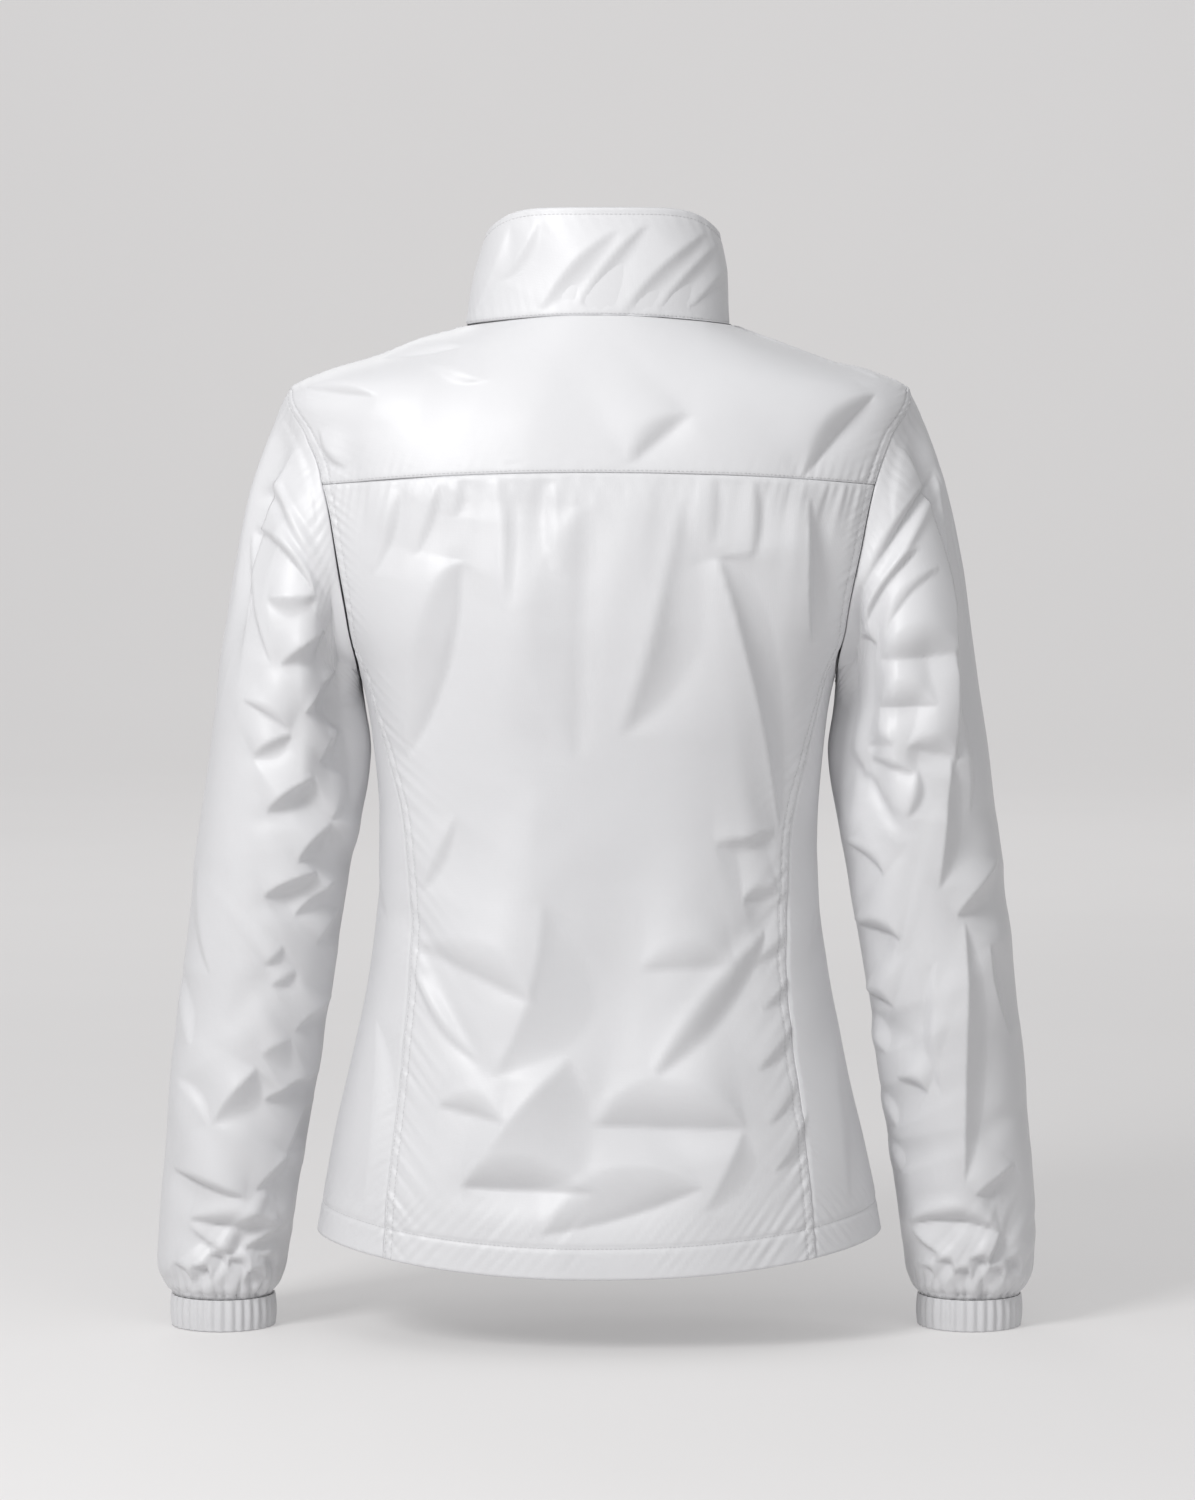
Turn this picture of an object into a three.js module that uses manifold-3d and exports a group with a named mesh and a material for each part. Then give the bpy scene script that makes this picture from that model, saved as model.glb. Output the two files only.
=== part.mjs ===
// Windbreaker jacket, filled out as if worn, in millimetres. +Z is up, the front faces -Y and the wearer's left
// is +X. The origin is the centre of the neckline seam.
import * as THREE from "three";
import { mergeVertices } from "three/addons/utils/BufferGeometryUtils.js";
import Module from "manifold-3d";

// Cloth
const WALL = 1.6;
const COLLAR_WALL = 2.4;
const CUFF_WALL = 2.0;
const TAPE_WALL = 1.2;
const SEAM_GAP = 0.3;
const HALF_GAP = SEAM_GAP / 2;

// Torso landmarks: heights are read where the wearer's side would be
const HEM = -616;
const SHOULDER_POINT = -46;
const NECK = -3;

// Torso rings, from hem to neck. The ring dips or rises from its side height to its back and front heights.
// A power of 2 is an ellipse, less is more pointed at the sides and more is squarer.
const TORSO_RINGS = [
  { at: -616, back: -633, front: -627, halfWidth: 192, backDepth: 124, frontDepth: 118, power: 2.2 },
  { at: -560, back: -572, front: -568, halfWidth: 181.5, backDepth: 119, frontDepth: 115, power: 2.2 },
  { at: -500, back: -507, front: -505, halfWidth: 168, backDepth: 111, frontDepth: 111, power: 2.2 },
  { at: -430, back: -432, front: -432, halfWidth: 154, backDepth: 103, frontDepth: 107, power: 2.2 },
  { at: -354, back: -354, front: -354, halfWidth: 148, backDepth: 99, frontDepth: 106, power: 2.25 },
  { at: -293, back: -291, front: -293, halfWidth: 152, backDepth: 103, frontDepth: 112, power: 2.3 },
  { at: -238, back: -233, front: -240, halfWidth: 161, backDepth: 109, frontDepth: 118, power: 2.45 },
  { at: -205, back: -198, front: -208, halfWidth: 177, backDepth: 112, frontDepth: 118, power: 2.35 },
  { at: -160, back: -150, front: -168, halfWidth: 196, backDepth: 111, frontDepth: 112, power: 2.2 },
  { at: -117, back: -105, front: -134, halfWidth: 205, backDepth: 105, frontDepth: 102, power: 2.15 },
  { at: -80, back: -70, front: -112, halfWidth: 210, backDepth: 96, frontDepth: 91, power: 2.1 },
  { at: -46, back: -42, front: -96, halfWidth: 208, backDepth: 84, frontDepth: 79, power: 2.05 },
  { at: -24, back: -19, front: -84, halfWidth: 150, backDepth: 73, frontDepth: 69, power: 2.0 },
  { at: -3, back: 3, front: -72, halfWidth: 90, backDepth: 62, frontDepth: 60, power: 2.0 },
];

// Stand collar, from the neckline seam to the top edge
const COLLAR_RINGS = [
  { at: 0, side: -3, back: 3, front: -72, halfWidth: 90, backDepth: 62, frontDepth: 60, lean: 0 },
  { at: 0.5, side: 28, back: 40, front: -33, halfWidth: 86, backDepth: 56, frontDepth: 62, lean: -1.5 },
  { at: 1, side: 58, back: 74, front: 6, halfWidth: 78.5, backDepth: 50, frontDepth: 61, lean: -3 },
];
const COLLAR_TOP_POWER = 6;

// Armhole: an ellipse in side height and in degrees round the torso from the side line
const ARMHOLE_CENTRE = -142;
const ARMHOLE_HALF_HEIGHT = 96;
const ARMHOLE_BACK_DEGREES = 28.5;
const ARMHOLE_FRONT_DEGREES = 32;
const ARM_STEPS = 30;
const ARM_STEP = (2 * Math.PI) / ARM_STEPS;
const YOKE_STEP = 6;
const PANEL_STEP = 12;

// Side panel seams, in degrees round the torso from the centre back
const SIDE_SEAMS = [
  { at: -616, back: 47, front: 128 },
  { at: -470, back: 52.5, front: 124 },
  { at: -391, back: 55.7, front: 121 },
  { at: -337, back: 59, front: 118 },
  { at: -293, back: 66, front: 113.5 },
  { at: -256, back: 71.5, front: 110 },
  { at: -219.7, back: 73.2, front: 108.8 },
];

// Sleeve sections, level rings from the underarm to the cuff. outer and inner are distances from the middle
// of the jacket, back and front are the section's reach along Y.
const SLEEVE_SECTIONS = [
  { at: -664.4, outer: 286.6, inner: 216, back: 18, front: -56 },
  { at: -645, outer: 293, inner: 210, back: 24, front: -62 },
  { at: -620, outer: 295, inner: 204.5, back: 28, front: -66 },
  { at: -572, outer: 293, inner: 198, back: 33, front: -68 },
  { at: -485, outer: 286.5, inner: 185, back: 42, front: -68 },
  { at: -401, outer: 277, inner: 171, back: 50, front: -66 },
  { at: -352, outer: 272, inner: 163.8, back: 54, front: -65 },
  { at: -293, outer: 264.5, inner: 154.8, back: 58, front: -64 },
  { at: -262, outer: 260.5, inner: 158.4, back: 60, front: -64 },
];
// How far each sleeve swings outwards below its underarm, as shown
const LEFT_SWING = { elbow: 1.5, wrist: 6 };
const RIGHT_SWING = { elbow: 2.5, wrist: 2.5 };
const SLEEVE_TOP = -262;
const SLEEVE_BOTTOM = -664.4;

// Sleeve head: how the cloth leaves the armhole, turning from the shoulder round to the underarm
const HEAD_TURN_START = -24;
const HEAD_TURN_RANGE = 196;
const HEAD_FULLNESS = 0.95;
const HEAD_DROP = 0.9;
const HEAD_ROWS = 6;
const HEAD_SIDE_CLEARANCE = 0.8;

// Above this height the sleeve's inner side touches the body, so it has no folds there
const TOUCH_BOTTOM = -310;
const TOUCH_FADE = 60;
const INNER_SIDE = { from: 0.72, full: 0.95 };
// Folds fade out over the places by the armhole and by the cuff
const HEAD_FOLDS = { from: 0, full: 0.25 };
const CUFF_FOLDS = { from: 1.93, full: 1.99 };

// Gathers above the cuff and ribs on it
const GATHER_COUNT = 20;
const GATHER_RAISE = 2.2;
const GATHER_HEIGHT = 34;
const CUFF_HEIGHT = 21.5;
const RIB_COUNT = 32;
const RIB_RAISE = 1.1;
const RIB_SAMPLES = 3;

// Rings of the cuff's outside, from its top: how far down, how much of the rib's height and how far in
const CUFF_RINGS = [
  { down: 0, ribShare: 0.5, inset: 0.6 },
  { down: 0.5, ribShare: 1, inset: 0 },
  { down: 1, ribShare: 0.7, inset: 0.4 },
];

// Zip
const ZIP_HALF_WIDTH = 10;
const TAPE_INNER = 0.3;
const SLIDER_WIDTH = 8;
const SLIDER_LENGTH = 10;
const SLIDER_PLATE = 1.4;
const PIN_RADIUS = 0.7;
const PIN_STAND_OFF = 3.7;
const TAB_LENGTH = 24;
const TAB_WIDTH = 7;
const TAB_THICKNESS = 1.4;

// Grid sizes
const BODY_COLUMNS = 20;
const FRONT_COLUMNS = 9;
const HEM_ROWS = 15;
const SHOULDER_ROWS = 4;
const COLLAR_ROWS = 3;
const SLEEVE_ROWS = 13;
const GATHER_ROWS = 4;

// A fold on one face fades out where the cloth turns to the other. It starts sharply at its tip and dies away
// at its tail.
const FOLD_HIDDEN = -0.25;
const FOLD_FULL = 0.3;
const FOLD_TIP_SHARE = 0.14;
const FOLD_TAIL_SHARE = 0.9;
const FOLD_ROUNDNESS = 0.7;

// Largest folds. Each runs from one point to the other, seen from behind or from the front, in millimetres from
// the middle of the jacket and up from the neckline. wide is the fold's spread, tip to tail, and depth is
// negative for a trough and positive for a ridge. bow bends the line to its left.
const TORSO_FOLDS = [
  { face: "back", x0: 92, z0: -161, x1: 121, z1: -300, bow: 8, tip: 9, wide: 17, depth: -7.5 },
  { face: "back", x0: -79, z0: -160, x1: -118, z1: -337, bow: -10, tip: 9, wide: 18, depth: -7.5 },
  { face: "back", x0: 73, z0: -112, x1: 70, z1: -215, bow: 0, tip: 9, wide: 14, depth: -3 },
  { face: "back", x0: 38, z0: -112, x1: 34, z1: -190, bow: 0, tip: 8, wide: 12, depth: -2.5 },
  { face: "back", x0: -45, z0: -112, x1: -54, z1: -250, bow: 4, tip: 9, wide: 15, depth: -4 },
  { face: "back", x0: -26, z0: -125, x1: 14, z1: -284, bow: 6, tip: 14, wide: 22, depth: 4.5 },
  { face: "back", x0: -118, z0: -396, x1: -37, z1: -500, bow: 10, tip: 12, wide: 17, depth: -7.5 },
  { face: "back", x0: 126, z0: -400, x1: 84, z1: -495, bow: -8, tip: 11, wide: 17, depth: -7 },
  { face: "back", x0: -95, z0: -541, x1: -6, z1: -520, bow: -7, tip: 10, wide: 16, depth: -6 },
  { face: "back", x0: 93, z0: -577, x1: 4, z1: -568, bow: 8, tip: 10, wide: 15, depth: -5.5 },
  { face: "back", x0: 34, z0: -606, x1: -18, z1: -576, bow: -4, tip: 9, wide: 13, depth: -4.5 },
  { face: "back", x0: 20, z0: -350, x1: 60, z1: -450, bow: 6, tip: 14, wide: 22, depth: 4 },
  { face: "back", x0: -150, z0: -122, x1: -152, z1: -206, bow: 0, tip: 8, wide: 11, depth: -6 },
  { face: "back", x0: -59, z0: -60, x1: -14, z1: -102, bow: 3, tip: 9, wide: 13, depth: -3 },
  { face: "back", x0: -181, z0: -58, x1: -130, z1: -102, bow: 4, tip: 9, wide: 12, depth: -5 },
  { face: "back", x0: 168, z0: -78, x1: 150, z1: -150, bow: 4, tip: 9, wide: 12, depth: -5 },
  { face: "front", x0: 96, z0: -170, x1: 118, z1: -300, bow: 8, tip: 9, wide: 17, depth: -7.5 },
  { face: "front", x0: -100, z0: -150, x1: -112, z1: -290, bow: -6, tip: 9, wide: 16, depth: -7 },
  { face: "front", x0: 150, z0: -95, x1: 96, z1: -140, bow: -4, tip: 9, wide: 13, depth: -4.5 },
  { face: "front", x0: -146, z0: -92, x1: -98, z1: -146, bow: 4, tip: 9, wide: 13, depth: -4.5 },
  { face: "front", x0: 40, z0: -330, x1: 110, z1: -420, bow: 8, tip: 11, wide: 17, depth: -6 },
  { face: "front", x0: -44, z0: -350, x1: -108, z1: -410, bow: -8, tip: 11, wide: 17, depth: -6 },
  { face: "front", x0: 100, z0: -530, x1: 34, z1: -575, bow: 6, tip: 10, wide: 16, depth: -5.5 },
  { face: "front", x0: -96, z0: -520, x1: -36, z1: -560, bow: -6, tip: 10, wide: 16, depth: -5.5 },
];

const LEFT_SLEEVE_FOLDS = [
  { face: "back", x0: 217, z0: -72, x1: 190, z1: -140, bow: -3, tip: 7, wide: 10, depth: -6 },
  { face: "back", x0: 222, z0: -118, x1: 178, z1: -178, bow: -5, tip: 7, wide: 10, depth: -6 },
  { face: "back", x0: 212, z0: -231, x1: 176, z1: -207, bow: 6, tip: 8, wide: 11, depth: -6 },
  { face: "back", x0: 232, z0: -292, x1: 196, z1: -262, bow: 6, tip: 8, wide: 11, depth: -6 },
  { face: "back", x0: 226, z0: -334, x1: 188, z1: -304, bow: 7, tip: 8, wide: 12, depth: -7 },
  { face: "back", x0: 225, z0: -392, x1: 184, z1: -372, bow: 7, tip: 8, wide: 12, depth: -7 },
  { face: "back", x0: 246, z0: -470, x1: 204, z1: -430, bow: -5, tip: 9, wide: 14, depth: -5 },
  { face: "back", x0: 290, z0: -500, x1: 250, z1: -590, bow: 8, tip: 10, wide: 14, depth: 5 },
  { face: "back", x0: 290, z0: -578, x1: 240, z1: -597, bow: 6, tip: 9, wide: 13, depth: -6 },
  { face: "back", x0: 279, z0: -618, x1: 218, z1: -620, bow: 9, tip: 9, wide: 12, depth: -6 },
  { face: "front", x0: 226, z0: -110, x1: 186, z1: -190, bow: 5, tip: 8, wide: 12, depth: -6 },
  { face: "front", x0: 224, z0: -260, x1: 184, z1: -235, bow: -6, tip: 8, wide: 12, depth: -6 },
  { face: "front", x0: 236, z0: -350, x1: 190, z1: -325, bow: -7, tip: 8, wide: 12, depth: -7 },
  { face: "front", x0: 262, z0: -395, x1: 206, z1: -385, bow: -7, tip: 8, wide: 12, depth: -7 },
  { face: "front", x0: 268, z0: -480, x1: 216, z1: -520, bow: 6, tip: 9, wide: 14, depth: -5 },
  { face: "front", x0: 284, z0: -600, x1: 228, z1: -606, bow: -8, tip: 9, wide: 12, depth: -6 },
];

const RIGHT_SLEEVE_FOLDS = [
  { face: "back", x0: -226, z0: -102, x1: -186, z1: -172, bow: 8, tip: 8, wide: 12, depth: -8 },
  { face: "back", x0: -216, z0: -62, x1: -236, z1: -100, bow: 0, tip: 7, wide: 9, depth: -4 },
  { face: "back", x0: -192, z0: -223, x1: -240, z1: -216, bow: 5, tip: 9, wide: 13, depth: -6 },
  { face: "back", x0: -184, z0: -260, x1: -216, z1: -254, bow: 5, tip: 8, wide: 11, depth: -5.5 },
  { face: "back", x0: -196, z0: -292, x1: -236, z1: -286, bow: 4, tip: 8, wide: 11, depth: -5.5 },
  { face: "back", x0: -180, z0: -330, x1: -206, z1: -362, bow: 3, tip: 8, wide: 12, depth: -5.5 },
  { face: "back", x0: -262, z0: -330, x1: -240, z1: -395, bow: 5, tip: 9, wide: 14, depth: -5 },
  { face: "back", x0: -184, z0: -415, x1: -206, z1: -428, bow: 3, tip: 8, wide: 12, depth: -5.5 },
  { face: "back", x0: -282, z0: -400, x1: -240, z1: -470, bow: 6, tip: 10, wide: 15, depth: 5 },
  { face: "back", x0: -198, z0: -478, x1: -228, z1: -496, bow: 3, tip: 8, wide: 12, depth: -5 },
  { face: "back", x0: -286, z0: -535, x1: -256, z1: -566, bow: 6, tip: 9, wide: 13, depth: -6 },
  { face: "back", x0: -214, z0: -598, x1: -272, z1: -606, bow: -10, tip: 9, wide: 12, depth: -6 },
  { face: "front", x0: -222, z0: -120, x1: -188, z1: -196, bow: -5, tip: 8, wide: 12, depth: -7 },
  { face: "front", x0: -190, z0: -246, x1: -236, z1: -262, bow: 6, tip: 8, wide: 12, depth: -6 },
  { face: "front", x0: -198, z0: -338, x1: -250, z1: -352, bow: 7, tip: 8, wide: 12, depth: -7 },
  { face: "front", x0: -210, z0: -392, x1: -262, z1: -396, bow: 7, tip: 8, wide: 12, depth: -7 },
  { face: "front", x0: -222, z0: -500, x1: -270, z1: -474, bow: -6, tip: 9, wide: 14, depth: -5 },
  { face: "front", x0: -232, z0: -610, x1: -284, z1: -598, bow: 8, tip: 9, wide: 12, depth: -6 },
];

const WHITE = 0xe8e9eb;
const CLOTH_FINISH = new THREE.MeshStandardMaterial({ color: WHITE, roughness: 0.5, metalness: 0 });
const RIB_FINISH = new THREE.MeshStandardMaterial({ color: WHITE, roughness: 0.55, metalness: 0 });
const TAPE_FINISH = new THREE.MeshStandardMaterial({ color: 0xdfe0e3, roughness: 0.75, metalness: 0 });
const METAL_FINISH = new THREE.MeshStandardMaterial({ color: 0xc9cbce, roughness: 0.3, metalness: 0.9 });

const radians = THREE.MathUtils.degToRad;
const mix = THREE.MathUtils.lerp;
const smoothstep = THREE.MathUtils.smoothstep;

function signedPower(value, power) {
  return Math.sign(value) * Math.abs(value) ** power;
}

// The value of one column of a table at a place between its rows, on a smooth curve through them
function smoothColumn(table, column, place) {
  const rising = table[table.length - 1].at > table[0].at;
  let i = 0;
  while (i < table.length - 2 && (rising ? place > table[i + 1].at : place < table[i + 1].at)) i += 1;
  const before = table[Math.max(i - 1, 0)];
  const a = table[i];
  const b = table[i + 1];
  const after = table[Math.min(i + 2, table.length - 1)];
  const span = b.at - a.at;
  const slopeA = ((b[column] - before[column]) / (b.at - before.at)) * span;
  const slopeB = ((after[column] - a[column]) / (after.at - a.at)) * span;
  const t = THREE.MathUtils.clamp((place - a.at) / span, 0, 1);
  const t2 = t * t;
  const t3 = t2 * t;
  return (
    (2 * t3 - 3 * t2 + 1) * a[column] +
    (t3 - 2 * t2 + t) * slopeA +
    (3 * t2 - 2 * t3) * b[column] +
    (t3 - t2) * slopeB
  );
}

function spaced(from, to, cells) {
  return Array.from({ length: cells + 1 }, (_, i) => mix(from, to, i / cells));
}

// How far a fold moves the cloth at a point, along the cloth's outward direction
function foldOffset(folds, point, normal) {
  let offset = 0;
  for (const fold of folds) {
    const facing = fold.face === "back" ? normal.y : -normal.y;
    const seen = smoothstep(facing, FOLD_HIDDEN, FOLD_FULL);
    if (seen === 0) continue;
    const dx = fold.x1 - fold.x0;
    const dz = fold.z1 - fold.z0;
    const length = Math.hypot(dx, dz);
    const px = point.x - fold.x0;
    const pz = point.z - fold.z0;
    const along = (px * dx + pz * dz) / (length * length);
    const inside = THREE.MathUtils.clamp(along, 0, 1);
    const bend = 4 * fold.bow * inside * (1 - inside);
    const across = (px * -dz + pz * dx) / length - bend;
    const past = (along - inside) * length;
    const spread = mix(fold.tip, fold.wide, inside);
    const fade = Math.sin(Math.PI * mix(FOLD_TIP_SHARE, FOLD_TAIL_SHARE, inside)) ** FOLD_ROUNDNESS;
    const distance = (across * across + past * past) / (spread * spread);
    offset += fold.depth * fade * seen * Math.exp(-distance);
  }
  return offset;
}

// Torso surface before its folds: angle in radians from the centre back towards the wearer's left
function torsoBase(angle, height) {
  const ring = (column) => smoothColumn(TORSO_RINGS, column, height);
  const c = Math.cos(angle);
  const s = Math.sin(angle);
  const power = 2 / ring("power");
  const depth = ring(c >= 0 ? "backDepth" : "frontDepth");
  const end = ring(c >= 0 ? "back" : "front");
  return new THREE.Vector3(
    ring("halfWidth") * signedPower(s, power),
    depth * signedPower(c, power),
    mix(height, end, c * c),
  );
}

// Outward direction of a surface at two parameters, from small steps along each
function outward(surface, u, v, stepU, stepV) {
  const du = surface(u + stepU, v).sub(surface(u - stepU, v));
  const dv = surface(u, v + stepV).sub(surface(u, v - stepV));
  return du.cross(dv).normalize();
}

// Outer point of the torso with its folds, and the direction out of the cloth there
function torsoAt(angle, height) {
  const safeHeight = THREE.MathUtils.clamp(height, HEM + 1, NECK - 1);
  const normal = outward(torsoBase, angle, safeHeight, 0.01, 1).negate();
  const point = torsoBase(angle, height);
  point.addScaledVector(normal, foldOffset(TORSO_FOLDS, point, normal));
  return { point, normal };
}

function armholeHeight(turn) {
  return ARMHOLE_CENTRE + ARMHOLE_HALF_HEIGHT * Math.cos(turn);
}

// Angle round the torso of the armhole's edge, where turn runs from the shoulder point by the back
function armholeAngle(turn) {
  const s = Math.sin(turn);
  const reach = s >= 0 ? ARMHOLE_BACK_DEGREES : ARMHOLE_FRONT_DEGREES;
  return radians(90 - reach * s);
}

// The armhole's turn at a height, from the shoulder point down
function armholeTurn(height) {
  return Math.acos(THREE.MathUtils.clamp((height - ARMHOLE_CENTRE) / ARMHOLE_HALF_HEIGHT, -1, 1));
}

const PANEL_TOP = armholeHeight(PANEL_STEP * ARM_STEP);
const HEM_HEIGHTS = spaced(HEM, PANEL_TOP, HEM_ROWS);
const SHOULDER_HEIGHTS = spaced(SHOULDER_POINT, NECK, SHOULDER_ROWS);

function armholeHeights(fromStep, toStep) {
  const heights = [];
  for (let step = fromStep; step >= toStep; step -= 1) heights.push(armholeHeight(step * ARM_STEP));
  return heights;
}

// Side edge of the back, as an angle from the centre back
function backEdge(height) {
  if (height >= SHOULDER_POINT) return radians(90);
  if (height >= PANEL_TOP) return armholeAngle(armholeTurn(height));
  return radians(smoothColumn(SIDE_SEAMS, "back", height));
}

// Side edge of a front, as an angle from the centre back
function frontEdge(height) {
  if (height >= SHOULDER_POINT) return radians(90);
  if (height >= PANEL_TOP) return armholeAngle(-armholeTurn(height));
  return radians(smoothColumn(SIDE_SEAMS, "front", height));
}

// Edge of the zip opening, as an angle from the centre back
function zipEdge(height, distance) {
  const ring = (column) => smoothColumn(TORSO_RINGS, column, height);
  return Math.PI - Math.asin((distance / ring("halfWidth")) ** (ring("power") / 2));
}

// Moves the first and last place of each row a little way into the piece, to leave the seam gap
function trimRowEnds(rows, gap) {
  for (const row of rows) {
    const ends = [
      [row[0], row[1]],
      [row[row.length - 1], row[row.length - 2]],
    ];
    for (const [end, next] of ends) {
      const inwards = next.point.clone().sub(end.point).normalize();
      end.point.addScaledVector(inwards, gap);
    }
  }
  return rows;
}

// Moves the places of one row towards the next row, to leave the seam gap
function trimRow(row, nextRow, gap) {
  row.forEach((place, i) => {
    const inwards = nextRow[i].point.clone().sub(place.point).normalize();
    place.point.addScaledVector(inwards, gap);
  });
}

function signedVolume(points, faces) {
  const cross = new THREE.Vector3();
  return faces.reduce(
    (sum, [a, b, c]) => sum + cross.crossVectors(points[a], points[b]).dot(points[c]) / 6,
    0,
  );
}

function geometryOf(points, faces) {
  const turned = signedVolume(points, faces) < 0 ? faces.map(([a, b, c]) => [a, c, b]) : faces;
  const geometry = new THREE.BufferGeometry().setFromPoints(points);
  geometry.setIndex(turned.flat());
  return geometry;
}

// Strip of faces between two rows of point numbers. The second row may have twice as many cells.
function bridge(faces, rowA, rowB, closed) {
  const cells = closed ? rowA.length : rowA.length - 1;
  const cellsB = closed ? rowB.length : rowB.length - 1;
  for (let i = 0; i < cells; i += 1) {
    const a = rowA[i];
    const aNext = rowA[(i + 1) % rowA.length];
    if (cellsB === cells) {
      const b = rowB[i];
      const bNext = rowB[(i + 1) % rowB.length];
      faces.push([a, b, bNext], [a, bNext, aNext]);
    } else {
      const b = rowB[2 * i];
      const bMiddle = rowB[2 * i + 1];
      const bNext = rowB[(2 * i + 2) % rowB.length];
      faces.push([a, b, bMiddle], [a, bMiddle, aNext], [aNext, bMiddle, bNext]);
    }
  }
}

// Closed wall between rows of outer points and rows of inner points
function wall(outerRows, innerRows, closed) {
  const points = [];
  const faces = [];
  const number = (row) => row.map((point) => points.push(point) - 1);
  const outer = outerRows.map(number);
  const inner = innerRows.map(number);
  for (let i = 0; i + 1 < outer.length; i += 1) bridge(faces, outer[i], outer[i + 1], closed);
  const back = [];
  for (let i = 0; i + 1 < inner.length; i += 1) bridge(back, inner[i], inner[i + 1], closed);
  faces.push(...back.map(([a, b, c]) => [a, c, b]));
  bridge(faces, inner[0], outer[0], closed);
  bridge(faces, outer[outer.length - 1], inner[inner.length - 1], closed);
  if (!closed) {
    const side = (i) => [outer.map((row) => row.at(i)), inner.map((row) => row.at(i))];
    const [firstOuter, firstInner] = side(0);
    const [lastOuter, lastInner] = side(-1);
    bridge(faces, firstOuter, firstInner, false);
    bridge(faces, lastInner, lastOuter, false);
  }
  return geometryOf(points, faces);
}

// Wall of even thickness behind rows of places
function clothWall(rows, thickness, closed) {
  const outer = rows.map((row) => row.map((place) => place.point));
  const inner = rows.map((row) =>
    row.map((place) => place.point.clone().addScaledVector(place.normal, -thickness)),
  );
  return wall(outer, inner, closed);
}

const jacket = new THREE.Group();

function addMesh(name, geometry, material, parent = jacket) {
  const mesh = new THREE.Mesh(geometry, material);
  mesh.name = name;
  parent.add(mesh);
  return mesh;
}

// Rows of a back piece, from wearer's right to left between its side edges
function backRows(heights) {
  return heights.map((height) => {
    const edge = backEdge(height);
    return spaced(-edge, edge, BODY_COLUMNS).map((angle) => torsoAt(angle, height));
  });
}

function buildBack() {
  const yoke = backRows([...armholeHeights(YOKE_STEP, 0), ...SHOULDER_HEIGHTS.slice(1)]);
  trimRowEnds(yoke, HALF_GAP);
  trimRow(yoke[0], yoke[1], HALF_GAP);
  trimRow(yoke.at(-1), yoke.at(-2), HALF_GAP);
  addMesh("back_yoke", clothWall(yoke, WALL, false), CLOTH_FINISH);

  const upper = armholeHeights(PANEL_STEP, YOKE_STEP).slice(1);
  const body = backRows([...HEM_HEIGHTS, ...upper]);
  trimRowEnds(body, HALF_GAP);
  trimRow(body.at(-1), body.at(-2), HALF_GAP);
  addMesh("back_body", clothWall(body, WALL, false), CLOTH_FINISH);
}

// Rows of a front, from the side edge to the zip
function frontRows(side) {
  const heights = [...HEM_HEIGHTS, ...armholeHeights(PANEL_STEP, 0).slice(1), ...SHOULDER_HEIGHTS.slice(1)];
  return heights.map((height) =>
    spaced(frontEdge(height), zipEdge(height, ZIP_HALF_WIDTH), FRONT_COLUMNS).map((angle) =>
      torsoAt(side * angle, height),
    ),
  );
}

function buildFront(name, side) {
  const rows = frontRows(side);
  trimRowEnds(rows, HALF_GAP);
  trimRow(rows.at(-1), rows.at(-2), HALF_GAP);
  addMesh(name, clothWall(rows, WALL, false), CLOTH_FINISH);
}

// A side panel's top edge is the bottom of the armhole
function buildSidePanel(name, side) {
  const steps = ARM_STEPS - 2 * PANEL_STEP;
  const turns = spaced(PANEL_STEP * ARM_STEP, (PANEL_STEP + steps) * ARM_STEP, steps);
  const topAngles = turns.map(armholeAngle);
  const share = (angle) => (angle - topAngles[0]) / (topAngles[steps] - topAngles[0]);
  const rows = spaced(0, 1, HEM_ROWS).map((t) =>
    turns.map((turn, i) => {
      const top = armholeHeight(turn);
      const height = mix(HEM, top, t);
      const between = (h) => mix(backEdge(h), frontEdge(h), share(topAngles[i]));
      const settle = t ** 6 * (topAngles[i] - between(top));
      return torsoAt(side * (between(height) + settle), height);
    }),
  );
  trimRowEnds(rows, HALF_GAP);
  trimRow(rows.at(-1), rows.at(-2), HALF_GAP);
  addMesh(name, clothWall(rows, WALL, false), CLOTH_FINISH);
}

// Collar surface: angle from the centre back, rise from 0 at the neckline seam to 1 at the top edge
function collarBase(angle, rise) {
  const ring = (column) => smoothColumn(COLLAR_RINGS, column, rise);
  const c = Math.cos(angle);
  const s = Math.sin(angle);
  const level = 1 - Math.abs(s) ** mix(2, COLLAR_TOP_POWER, c >= 0 ? rise : 0);
  return new THREE.Vector3(
    ring("halfWidth") * s + ring("lean"),
    ring(c >= 0 ? "backDepth" : "frontDepth") * c,
    mix(ring("side"), ring(c >= 0 ? "back" : "front"), level),
  );
}

function collarAt(angle, rise) {
  const safeRise = THREE.MathUtils.clamp(rise, 0.02, 0.98);
  const normal = outward(collarBase, angle, safeRise, 0.01, 0.01).negate();
  return { point: collarBase(angle, rise), normal };
}

function collarZipEdge(rise, distance) {
  return Math.PI - Math.asin(distance / smoothColumn(COLLAR_RINGS, "halfWidth", rise));
}

function buildCollar() {
  const rows = spaced(0, 1, COLLAR_ROWS).map((rise) => {
    const edge = collarZipEdge(rise, ZIP_HALF_WIDTH);
    const side = Math.PI / 2;
    const angles = [
      ...spaced(-edge, -side, FRONT_COLUMNS),
      ...spaced(-side, side, BODY_COLUMNS).slice(1),
      ...spaced(side, edge, FRONT_COLUMNS).slice(1),
    ];
    return angles.map((angle) => collarAt(angle, rise));
  });
  trimRowEnds(rows, HALF_GAP);
  trimRow(rows[0], rows[1], HALF_GAP);
  addMesh("collar", clothWall(rows, COLLAR_WALL, false), CLOTH_FINISH);
}

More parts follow.
